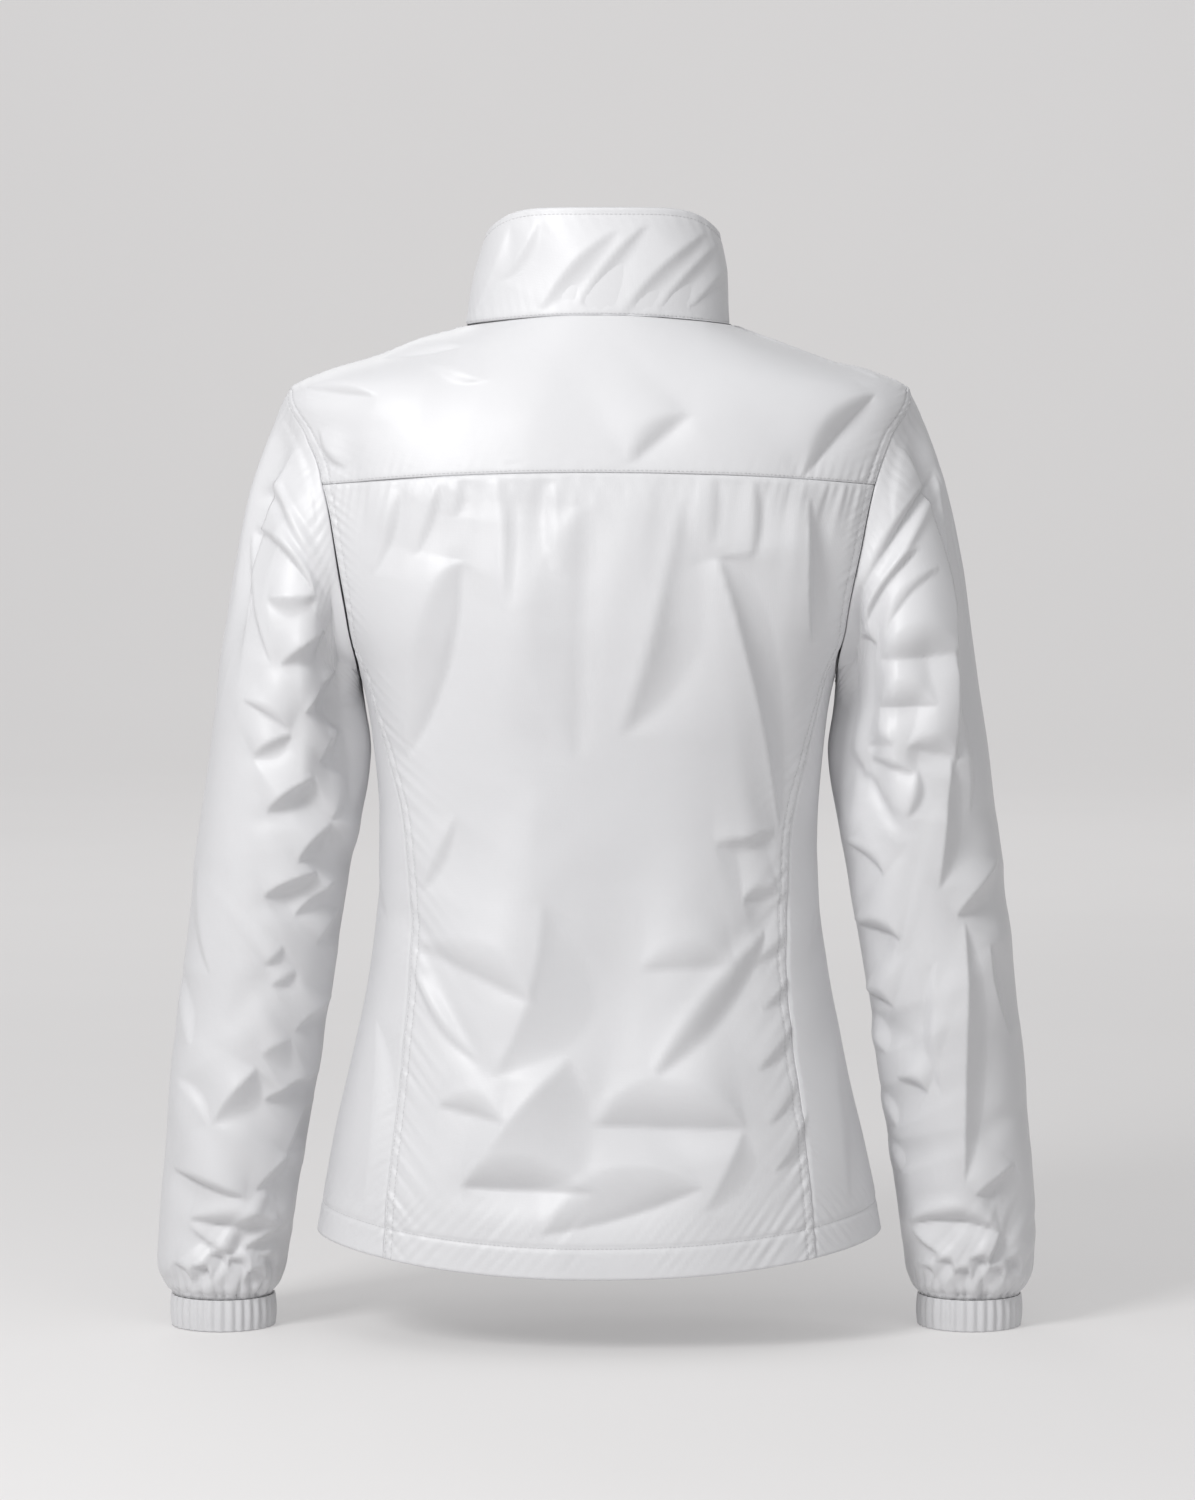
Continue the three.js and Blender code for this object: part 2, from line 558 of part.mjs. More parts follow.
function zipTapeRows(side) {
  const heights = [...HEM_HEIGHTS, ...armholeHeights(PANEL_STEP, 0).slice(1), ...SHOULDER_HEIGHTS.slice(1)];
  const outerEdge = ZIP_HALF_WIDTH - HALF_GAP;
  const torso = heights.map((height) =>
    [outerEdge, TAPE_INNER].map((distance) => torsoAt(side * zipEdge(height, distance), height)),
  );
  const collar = spaced(0, 1, COLLAR_ROWS)
    .slice(1)
    .map((rise) =>
      [outerEdge, TAPE_INNER].map((distance) => collarAt(side * collarZipEdge(rise, distance), rise)),
    );
  return [...torso, ...collar];
}

function buildZipTape(name, side) {
  addMesh(name, clothWall(zipTapeRows(side), TAPE_WALL, false), TAPE_FINISH);
}

// Sleeve section at a height, as an ellipse round its own centre. turn starts at the outer side, by the back.
function sleeveSection(side, turn, height) {
  const section = (column) => smoothColumn(SLEEVE_SECTIONS, column, height);
  const swing = side > 0 ? LEFT_SWING : RIGHT_SWING;
  const swungOut = mix(
    swing.elbow * (1 - smoothstep(height, -440, -300)),
    swing.wrist,
    1 - smoothstep(height, SLEEVE_BOTTOM, -440),
  );
  const centreX = (section("outer") + section("inner")) / 2 + swungOut;
  const radiusX = (section("outer") - section("inner")) / 2;
  const centreY = (section("back") + section("front")) / 2;
  const radiusY = (section("back") - section("front")) / 2;
  return new THREE.Vector3(
    side * (centreX + radiusX * Math.cos(turn)),
    centreY + radiusY * Math.sin(turn),
    height,
  );
}

// Where the sleeve's cloth starts at the armhole, which way it leaves and which way its inside lies
function sleeveStart(side, turn) {
  const s = Math.sin(turn);
  const angle = armholeAngle(turn);
  const height = armholeHeight(turn);
  const edge = torsoAt(side * angle, height);
  const ahead = torsoBase(side * (angle + 0.02 * s), height - 2 * Math.cos(turn));
  ahead.sub(torsoBase(side * angle, height));
  const out = edge.normal;
  const intoHole = ahead.addScaledVector(out, -ahead.dot(out)).normalize();
  const way = Math.abs(turn > Math.PI ? 2 * Math.PI - turn : turn) / Math.PI;
  const bend = radians(HEAD_TURN_START + HEAD_TURN_RANGE * way);
  const edgeBend = Math.max(bend, 0);
  const leaves = intoHole.clone().multiplyScalar(Math.cos(bend)).addScaledVector(out, Math.sin(bend));
  const inside = intoHole.clone().multiplyScalar(Math.sin(edgeBend)).addScaledVector(out, -Math.cos(edgeBend));
  const start = edge.point
    .clone()
    .addScaledVector(intoHole, SEAM_GAP * Math.cos(edgeBend / 2))
    .addScaledVector(out, HEAD_SIDE_CLEARANCE * Math.sin(edgeBend / 2) ** 2);
  return { start, leaves, inside };
}

// Sleeve head between the armhole and the first level section
function sleeveHead(side, turn, t) {
  const { start, leaves } = sleeveStart(side, turn);
  const end = sleeveSection(side, turn, SLEEVE_TOP);
  const below = sleeveSection(side, turn, SLEEVE_TOP - 4).sub(end).normalize();
  const reach = start.distanceTo(end);
  const t2 = t * t;
  const t3 = t2 * t;
  return new THREE.Vector3()
    .addScaledVector(start, 2 * t3 - 3 * t2 + 1)
    .addScaledVector(leaves, (t3 - 2 * t2 + t) * reach * HEAD_FULLNESS)
    .addScaledVector(end, 3 * t2 - 2 * t3)
    .addScaledVector(below, (t3 - t2) * reach * HEAD_DROP);
}

// The sleeve before its folds: place runs from 0 at the armhole, by 1 at the underarm, to 2 at the cuff
function sleeveBase(side, turn, place) {
  if (place < 1) return sleeveHead(side, turn, place);
  return sleeveSection(side, turn, mix(SLEEVE_TOP, SLEEVE_BOTTOM, place - 1));
}

function sleeveAt(side, folds, turn, place) {
  const surface = (u, v) => sleeveBase(side, u, v);
  const safePlace = THREE.MathUtils.clamp(place, 0.02, 1.99);
  const normal = outward(surface, turn, safePlace, 0.01, 0.005).multiplyScalar(-side);
  const point = sleeveBase(side, turn, place);
  const inner = smoothstep((1 - Math.cos(turn)) / 2, INNER_SIDE.from, INNER_SIDE.full);
  const clearOfSide = 1 - inner * smoothstep(point.z, TOUCH_BOTTOM - TOUCH_FADE, TOUCH_BOTTOM);
  const fromArmhole = smoothstep(place, HEAD_FOLDS.from, HEAD_FOLDS.full);
  const fromCuff = 1 - smoothstep(place, CUFF_FOLDS.from, CUFF_FOLDS.full);
  const fold = foldOffset(folds, point, normal) * clearOfSide * fromArmhole * fromCuff;
  point.addScaledVector(normal, fold);
  return { point, normal };
}

function buildSleeve(name, side, folds) {
  const turns = Array.from({ length: ARM_STEPS }, (_, i) => i * ARM_STEP);
  const fineTurns = Array.from({ length: 2 * ARM_STEPS }, (_, i) => (i * ARM_STEP) / 2);
  const gatherTop = 2 - GATHER_HEIGHT / (SLEEVE_TOP - SLEEVE_BOTTOM);
  const outer = [];
  const inner = [];
  const headPlaces = spaced(0, 1, HEAD_ROWS);
  const lowerPlaces = spaced(1, gatherTop, SLEEVE_ROWS).slice(1);
  const gatherPlaces = spaced(gatherTop, 2, GATHER_ROWS).slice(1);
  for (const place of [...headPlaces, ...lowerPlaces]) {
    const row = turns.map((turn) => sleeveAt(side, folds, turn, place));
    if (place === 0) {
      row.forEach((entry, i) => {
        const { start, inside } = sleeveStart(side, turns[i]);
        entry.point = start;
        entry.normal = inside.negate();
      });
    }
    outer.push(row.map((entry) => entry.point));
    inner.push(row.map((entry) => entry.point.clone().addScaledVector(entry.normal, -WALL)));
  }
  for (const place of gatherPlaces) {
    const rise = smoothstep(place, gatherTop, 2);
    const row = fineTurns.map((turn) => sleeveAt(side, folds, turn, place));
    const lift = (turn) => GATHER_RAISE * rise * (0.5 + 0.5 * Math.cos(GATHER_COUNT * turn));
    outer.push(row.map((entry, i) => entry.point.clone().addScaledVector(entry.normal, lift(fineTurns[i]))));
    inner.push(row.map((entry) => entry.point.clone().addScaledVector(entry.normal, -WALL)));
  }
  addMesh(name, wall(outer, inner, true), CLOTH_FINISH);
}

// Elastic cuff: ribs raised on the outside of a plain band
function buildCuff(name, side) {
  const top = SLEEVE_BOTTOM - SEAM_GAP;
  const bottom = top - CUFF_HEIGHT;
  const count = RIB_COUNT * RIB_SAMPLES;
  const ringAt = (height, raise, inset) =>
    Array.from({ length: count }, (_, i) => {
      const turn = (2 * Math.PI * i) / count;
      const wave = 0.5 + 0.5 * Math.cos(RIB_COUNT * turn);
      const base = sleeveSection(side, turn, SLEEVE_BOTTOM);
      const out = new THREE.Vector3(side * Math.cos(turn), Math.sin(turn), 0);
      base.z = height;
      return base.addScaledVector(out, raise * wave - inset);
    });
  const outer = CUFF_RINGS.map((ring) =>
    ringAt(mix(top, bottom, ring.down), RIB_RAISE * ring.ribShare, ring.inset),
  );
  const inner = [ringAt(top, 0, CUFF_WALL), ringAt(bottom, 0, CUFF_WALL)];
  addMesh(name, wall(outer, inner, true), RIB_FINISH);
}

const wasm = await Module();
wasm.setup();

function solidOf(geometry) {
  const plain = geometry.clone();
  plain.deleteAttribute("normal");
  plain.deleteAttribute("uv");
  const merged = mergeVertices(plain, 1e-4);
  return new wasm.Manifold(
    new wasm.Mesh({
      numProp: 3,
      vertProperties: merged.getAttribute("position").array,
      triVerts: new Uint32Array(merged.index.array),
    }),
  );
}

function geometryOfSolid(solid) {
  const mesh = solid.getMesh();
  const geometry = new THREE.BufferGeometry();
  geometry.setAttribute("position", new THREE.BufferAttribute(mesh.vertProperties, 3));
  geometry.setIndex(new THREE.BufferAttribute(mesh.triVerts, 1));
  return geometry;
}

function box(width, depth, height, x, y, z) {
  return new THREE.BoxGeometry(width, depth, height).translate(x, y, z);
}

function rodAlongX(radius, length, y, z) {
  return new THREE.CylinderGeometry(radius, radius, length, 16).rotateZ(Math.PI / 2).translate(0, y, z);
}

// The slider clasps the tapes' top ends. In its own frame +Z is up the collar and -Y is outwards, and the
// origin is on the tapes' outer face at their top edge.
const TAPE_CLEARANCE = 0.3;
const PIN_DROP = 4;
const EAR_WIDTH = 1.2;
const EAR_INNER = 2.1;
const EAR_HEIGHT = 3;
const POST_HEIGHT = 2;
const POST_LIFT = 0.8;

function sliderGeometry() {
  const frontY = -(TAPE_CLEARANCE + SLIDER_PLATE / 2);
  const backY = TAPE_WALL + TAPE_CLEARANCE + SLIDER_PLATE / 2;
  const plateTop = POST_LIFT + POST_HEIGHT;
  const plateZ = plateTop - SLIDER_LENGTH / 2;
  const earDepth = PIN_STAND_OFF + PIN_RADIUS - TAPE_CLEARANCE;
  const earY = -(TAPE_CLEARANCE + earDepth / 2);
  const earX = EAR_INNER + EAR_WIDTH / 2;
  const pieces = [
    box(SLIDER_WIDTH, SLIDER_PLATE, SLIDER_LENGTH, 0, frontY, plateZ),
    box(SLIDER_WIDTH, SLIDER_PLATE, SLIDER_LENGTH, 0, backY, plateZ),
    box(SLIDER_WIDTH, backY - frontY, POST_HEIGHT, 0, (backY + frontY) / 2, POST_LIFT + POST_HEIGHT / 2),
    box(EAR_WIDTH, earDepth, EAR_HEIGHT, earX, earY, -PIN_DROP),
    box(EAR_WIDTH, earDepth, EAR_HEIGHT, -earX, earY, -PIN_DROP),
    rodAlongX(PIN_RADIUS, 2 * EAR_INNER + EAR_WIDTH, -PIN_STAND_OFF, -PIN_DROP),
  ];
  return geometryOfSolid(pieces.map(solidOf).reduce((sum, piece) => sum.add(piece)));
}

// The tab's own origin is on the pin's axis
const EYE_OUTER = 1.7;
const EYE_INNER = 1.0;
const EYE_WIDTH = 3.6;
const PLATE_START = EYE_INNER + 0.2;
const SHOULDER_TOP = 4;
const SHOULDER_BOTTOM = 7;

function pullTabGeometry() {
  const outline = new THREE.Shape();
  const half = TAB_WIDTH / 2;
  const neck = EYE_WIDTH / 2;
  outline.moveTo(-neck, -PLATE_START);
  outline.lineTo(-neck, -SHOULDER_TOP);
  outline.lineTo(-half, -SHOULDER_BOTTOM);
  outline.lineTo(-half, -TAB_LENGTH + half);
  outline.absarc(0, -TAB_LENGTH + half, half, Math.PI, 2 * Math.PI, false);
  outline.lineTo(half, -SHOULDER_BOTTOM);
  outline.lineTo(neck, -SHOULDER_TOP);
  outline.lineTo(neck, -PLATE_START);
  const flat = { depth: TAB_THICKNESS, bevelEnabled: false, curveSegments: 8 };
  const plate = new THREE.ExtrudeGeometry(outline, flat)
    .rotateX(Math.PI / 2)
    .translate(0, TAB_THICKNESS / 2, 0);
  const eye = rodAlongX(EYE_OUTER, EYE_WIDTH, 0, 0);
  const hole = rodAlongX(EYE_INNER, EYE_WIDTH + 1, 0, 0);
  return geometryOfSolid(solidOf(eye).add(solidOf(plate)).subtract(solidOf(hole)));
}

function buildZipHardware() {
  const top = collarAt(Math.PI, 1).point;
  const below = collarAt(Math.PI, 0.9).point;
  const slider = addMesh("zip_slider", sliderGeometry(), METAL_FINISH);
  slider.position.copy(top);
  slider.rotation.x = Math.atan2(below.y - top.y, top.z - below.z);
  slider.updateMatrix();
  const tab = addMesh("zip_pull_tab", pullTabGeometry(), METAL_FINISH);
  tab.position.set(0, -PIN_STAND_OFF, -PIN_DROP).applyMatrix4(slider.matrix);
}

buildBack();
buildFront("front_left", 1);
buildFront("front_right", -1);
buildSidePanel("side_panel_left", 1);
buildSidePanel("side_panel_right", -1);
buildCollar();
buildSleeve("sleeve_left", 1, LEFT_SLEEVE_FOLDS);
buildSleeve("sleeve_right", -1, RIGHT_SLEEVE_FOLDS);
buildCuff("cuff_left", 1);
buildCuff("cuff_right", -1);
buildZipTape("zip_tape_left", 1);
buildZipTape("zip_tape_right", -1);
buildZipHardware();

export default jacket;
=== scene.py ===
"""Windbreaker jacket seen from behind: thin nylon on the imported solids, with its creases and sewing.

Sizes are in millimetres until a mesh is made. +Z is up, the front faces -Y and the wearer's left is +X.
"""
import math

import bpy
import numpy as np
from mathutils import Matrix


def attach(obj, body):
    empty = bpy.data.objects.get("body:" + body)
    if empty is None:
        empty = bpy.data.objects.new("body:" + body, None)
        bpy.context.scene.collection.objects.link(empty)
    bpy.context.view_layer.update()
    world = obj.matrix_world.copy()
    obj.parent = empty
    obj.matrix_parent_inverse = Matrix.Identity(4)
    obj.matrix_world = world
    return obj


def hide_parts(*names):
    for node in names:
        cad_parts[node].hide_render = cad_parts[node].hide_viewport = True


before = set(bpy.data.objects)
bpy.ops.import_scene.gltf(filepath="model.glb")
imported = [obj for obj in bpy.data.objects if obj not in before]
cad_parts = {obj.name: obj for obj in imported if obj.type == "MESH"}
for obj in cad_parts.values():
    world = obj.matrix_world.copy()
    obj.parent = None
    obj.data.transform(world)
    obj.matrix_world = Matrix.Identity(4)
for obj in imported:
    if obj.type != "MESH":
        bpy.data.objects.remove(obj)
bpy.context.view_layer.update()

MM = 0.001
SEAM_GAP = 0.3
SEAM_TURN = 1.5
HALF_GAP = SEAM_GAP / 2
ALL_SIDES = ("left", "right", "bottom", "top")
SEAMED_SIDES = ("left", "right", "top")
HANDS = {"left": 1, "right": -1}

HEM = -616
SHOULDER_POINT = -46
NECK = -3
FLOOR = -686.3

# Sewing, as distances from the cut edges
HEM_LINE = 20
HEM_THICKNESS = 1.2
YOKE_STITCH = 1.6
SEAM_STITCH = 1.8
PANEL_STITCH = 6.5
ZIP_STITCH = 6
COLLAR_STITCH = 4
ARMHOLE_EDGE_STITCH = 1.4
ARMHOLE_STITCH = 7.5
STITCH_LENGTH = 2.3
STITCH_PITCH = 3.0
STITCH_RADIUS = 0.22


def table(columns, *rows):
    """Columns by name, as arrays, from rows of numbers."""
    return {name: np.array(values, float) for name, values in zip(columns, zip(*rows))}


# Torso rings from hem to neck. A ring dips or rises from its side height to its back and front heights,
# and its power is 2 for an ellipse, less for pointed sides and more for square ones.
TORSO_RINGS = table(
    ("at", "back", "front", "half_width", "back_depth", "front_depth", "power"),
    (-616, -633, -627, 192, 124, 118, 2.2),
    (-560, -572, -568, 181.5, 119, 115, 2.2),
    (-500, -507, -505, 168, 111, 111, 2.2),
    (-430, -432, -432, 154, 103, 107, 2.2),
    (-354, -354, -354, 148, 99, 106, 2.25),
    (-293, -291, -293, 152, 103, 112, 2.3),
    (-238, -233, -240, 161, 109, 118, 2.45),
    (-205, -198, -208, 177, 112, 118, 2.35),
    (-160, -150, -168, 196, 111, 112, 2.2),
    (-117, -105, -134, 205, 105, 102, 2.15),
    (-80, -70, -112, 210, 96, 91, 2.1),
    (-46, -42, -96, 208, 84, 79, 2.05),
    (-24, -19, -84, 150, 73, 69, 2.0),
    (-3, 3, -72, 90, 62, 60, 2.0),
)

# Stand collar from the neckline seam, 0, to the top edge, 1
COLLAR_RINGS = table(
    ("at", "side", "back", "front", "half_width", "back_depth", "front_depth", "lean"),
    (0, -3, 3, -72, 90, 62, 60, 0),
    (0.5, 28, 40, -33, 86, 56, 62, -1.5),
    (1, 58, 74, 6, 78.5, 50, 61, -3),
)
COLLAR_TOP_POWER = 6
COLLAR_THICKNESS = 2.2
COLLAR_RIM_RISE = 0.9

# Armhole: an ellipse in side height and in degrees round the torso from the side line
ARMHOLE_CENTRE = -142
ARMHOLE_HALF_HEIGHT = 96
ARMHOLE_BACK_DEGREES = 28.5
ARMHOLE_FRONT_DEGREES = 32
YOKE_TURN = math.radians(72)
PANEL_TURN = math.radians(144)

# Side panel seams in degrees round the torso from the centre back
SIDE_SEAMS = table(
    ("at", "back", "front"),
    (-616, 47, 128),
    (-470, 52.5, 124),
    (-391, 55.7, 121),
    (-337, 59, 118),
    (-293, 66, 113.5),
    (-256, 71.5, 110),
    (-219.7, 73.2, 108.8),
)

# Level sleeve sections: outer and inner are distances from the middle, back and front reach along Y
SLEEVE_SECTIONS = table(
    ("at", "outer", "inner", "back", "front"),
    (-664.4, 286.6, 216, 18, -56),
    (-645, 293, 210, 24, -62),
    (-620, 295, 204.5, 28, -66),
    (-572, 293, 198, 33, -68),
    (-485, 286.5, 185, 42, -68),
    (-401, 277, 171, 50, -66),
    (-352, 272, 163.8, 54, -65),
    (-293, 264.5, 154.8, 58, -64),
    (-262, 260.5, 158.4, 60, -64),
)
SLEEVE_SWING = {"left": (1.5, 6), "right": (2.5, 2.5)}
SLEEVE_TOP = -262
SLEEVE_BOTTOM = -664.4
HEAD_TURN_START = -20
HEAD_TURN_RANGE = 196
HEAD_TURN_DELAY = 1.5
HEAD_FULLNESS = 0.95
HEAD_DROP = 0.9
HEAD_SIDE_CLEARANCE = 0.8
ELBOW_RANGE = (-440, -300)
SLEEVE_COLUMNS = 250

# Near the line where a sleeve touches the body its folds fade, the raised ones from further off
TOUCH_BOTTOM = -310
TOUCH_FADE = 60
RAISE_CLEAR = (0.72, 0.95)
SINK_CLEAR = (0.9, 0.985)
SLEEVE_FOLDS_START = (0, 0.25)
SLEEVE_FOLDS_END = (1.965, 1.996)

CUFF_HEIGHT = 21.5
CUFF_THICKNESS = 1.6
CUFF_GAP = 0.05
RIB_COUNT = 32
RIB_STEPS = 9
RIB_DEPTH = 1.5
GATHER_COUNT = 26
GATHER_WIDTH = (0.045, 0.09)
GATHER_LENGTH = (7, 21)
GATHER_DEPTH = (2.2, 4.2)
GATHER_DRIFT = 0.006
GATHER_PUFF = 2.5
WRIST_PINCH = 1.5

ZIP_HALF_WIDTH = 10
TAPE_INNER = 0.3
TAPE_COLUMNS = 8
ZIP_TOP_CLEAR = 6
TOOTH_PITCH = 1.5
TOOTH_PROFILE = ((-1.9, -0.6), (1.9, -0.6), (1.6, 0.6), (-1.6, 0.6))
TOOTH_HALF_HEIGHT = 0.62
TOOTH_SHIFT = 1.0
TOOTH_RISE = 0.5
TOOTH_WORN_EDGE = 0.00015

# Camera and backdrop: places and sizes in metres, the lens and its sensor in millimetres
CAMERA_PLACE = (0.001, 4.0, -0.011)
CAMERA_PITCH = math.radians(4)
LENS = 142
SENSOR_HEIGHT = 36
FLOOR_FRONT = 7.0
FLOOR_BACK = -5.0
COVE_RADIUS = 0.8
WALL_TOP = 3.5
FLOOR_HALF_WIDTH = 6
BACKDROP_GLOW = 0.32
SKY_STRENGTH = 0.33

# Lights: name, place, the point each faces, width and height, and watts
LIGHTS = (
    ("key", (1.5, 2.05, 1.3), (0, 0, -0.15), (0.85, 0.9), 56),
    ("fill", (-1.6, 2.4, 1.3), (0, 0, 0), (1.4, 1.2), 9),
    ("wall", (0, -3.4, 1.6), (0, -5.8, -0.8), (4.0, 0.8), 26),
    ("front", (0.9, -2.7, 1.5), (0, 0, -0.2), (1.6, 1.2), 12),
    ("top", (0.3, 1.2, 2.2), (0, 0, -0.3), (2.6, 2.6), 22),
)

# Folds run from one point to the other, seen from behind or from the front, in millimetres from the
# middle and up from the neckline. bow bends the line to its left. The spread goes from tip to wide. depth
# is below 0 for a trough.
FOLD_COLUMNS = ("x0", "z0", "x1", "z1", "bow", "tip", "wide", "depth")
TORSO_BACK_FOLDS = table(
    FOLD_COLUMNS,
    (92, -161, 121, -300, 8, 9, 17, -3),
    (-79, -160, -118, -337, -10, 9, 18, -3),
    (73, -112, 70, -215, 0, 9, 14, -1),
    (38, -112, 34, -190, 0, 8, 12, -1),
    (-45, -112, -54, -250, 4, 9, 15, -1.5),
    (-26, -125, 14, -284, 6, 14, 22, 2),
    (-118, -396, -37, -500, 10, 12, 17, -3),
    (126, -400, 84, -495, -8, 11, 17, -3),
    (-95, -541, -6, -520, -7, 10, 16, -2.5),
    (93, -577, 4, -568, 8, 10, 15, -2),
    (34, -606, -18, -576, -4, 9, 13, -2),
    (20, -350, 60, -450, 6, 14, 22, 1.5),
    (-150, -122, -152, -206, 0, 8, 11, -2.5),
    (-59, -60, -14, -102, 3, 9, 13, -1),
    (-181, -58, -130, -102, 4, 9, 12, -2),
    (168, -78, 150, -150, 4, 9, 12, -2),
    (56, -120, 62, -300, 0, 16, 20, 3),
    (-16, -380, -20, -560, 0, 26, 36, -6),
    (112, -436, 78, -496, 0, 6, 8, -3),
    (46, -330, 88, -450, 0, 20, 30, 4),
    (-62, -450, -84, -560, 0, 20, 26, 3),
)
TORSO_FRONT_FOLDS = table(
    FOLD_COLUMNS,
    (96, -170, 118, -300, 8, 9, 17, -7.5),
    (-100, -150, -112, -290, -6, 9, 16, -7),
    (150, -95, 96, -140, -4, 9, 13, -4.5),
    (-146, -92, -98, -146, 4, 9, 13, -4.5),
    (40, -330, 110, -420, 8, 11, 17, -6),
    (-44, -350, -108, -410, -8, 11, 17, -6),
    (100, -530, 34, -575, 6, 10, 16, -5.5),
    (-96, -520, -36, -560, -6, 10, 16, -5.5),
)
LEFT_SLEEVE_BACK_FOLDS = table(
    FOLD_COLUMNS,
    (217, -72, 190, -140, -3, 7, 10, -2),
    (222, -118, 178, -178, -5, 7, 10, -2),
    (212, -231, 176, -207, 6, 8, 11, -2),
    (232, -292, 196, -262, 6, 8, 11, -2),
    (226, -334, 188, -304, 7, 8, 12, -2.5),
    (225, -392, 184, -372, 7, 8, 12, -2.5),
    (246, -470, 204, -430, -5, 9, 14, -2),
    (290, -500, 250, -590, 8, 10, 14, 2),
    (290, -578, 240, -597, 6, 9, 13, -2),
    (279, -618, 218, -620, 9, 9, 12, -2),
    (215, -111, 172, -176, 3, 4, 5, 3),
    (210, -112, 175, -164, 3, 3, 4, -1.5),
    (219, -117, 165, -197, 4, 3, 4, -2.5),
    (190, -138, 183, -146, 0, 4, 5, -2.5),
)
LEFT_SLEEVE_FRONT_FOLDS = table(
    FOLD_COLUMNS,
    (226, -110, 186, -190, 5, 8, 12, -6),
    (224, -260, 184, -235, -6, 8, 12, -6),
    (236, -350, 190, -325, -7, 8, 12, -7),
    (262, -395, 206, -385, -7, 8, 12, -7),
    (268, -480, 216, -520, 6, 9, 14, -5),
    (284, -600, 228, -606, -8, 9, 12, -6),
)
RIGHT_SLEEVE_BACK_FOLDS = table(
    FOLD_COLUMNS,
    (-226, -102, -186, -172, 8, 8, 12, -3),
    (-216, -62, -236, -100, 0, 7, 9, -1.5),
    (-192, -223, -240, -216, 5, 9, 13, -2),
    (-184, -260, -216, -254, 5, 8, 11, -2),
    (-196, -292, -236, -286, 4, 8, 11, -2),
    (-180, -330, -206, -362, 3, 8, 12, -2),
    (-262, -330, -240, -395, 5, 9, 14, -2),
    (-184, -415, -206, -428, 3, 8, 12, -2),
    (-282, -400, -240, -470, 6, 10, 15, 2),
    (-198, -478, -228, -496, 3, 8, 12, -2),
    (-286, -535, -256, -566, 6, 9, 13, -2),
    (-214, -598, -272, -606, -10, 9, 12, -2),
    (-174, -310, -203, -341, 0, 4, 6, -4),
    (-155, -291, -172, -316, 0, 4, 5, -3),
    (-166, -206, -226, -112, 3, 3, 4, 3),
)
RIGHT_SLEEVE_FRONT_FOLDS = table(
    FOLD_COLUMNS,
    (-222, -120, -188, -196, -5, 8, 12, -7),
    (-190, -246, -236, -262, 6, 8, 12, -6),
    (-198, -338, -250, -352, 7, 8, 12, -7),
    (-210, -392, -262, -396, 7, 8, 12, -7),
    (-222, -500, -270, -474, -6, 9, 14, -5),
    (-232, -610, -284, -598, 8, 9, 12, -6),
)

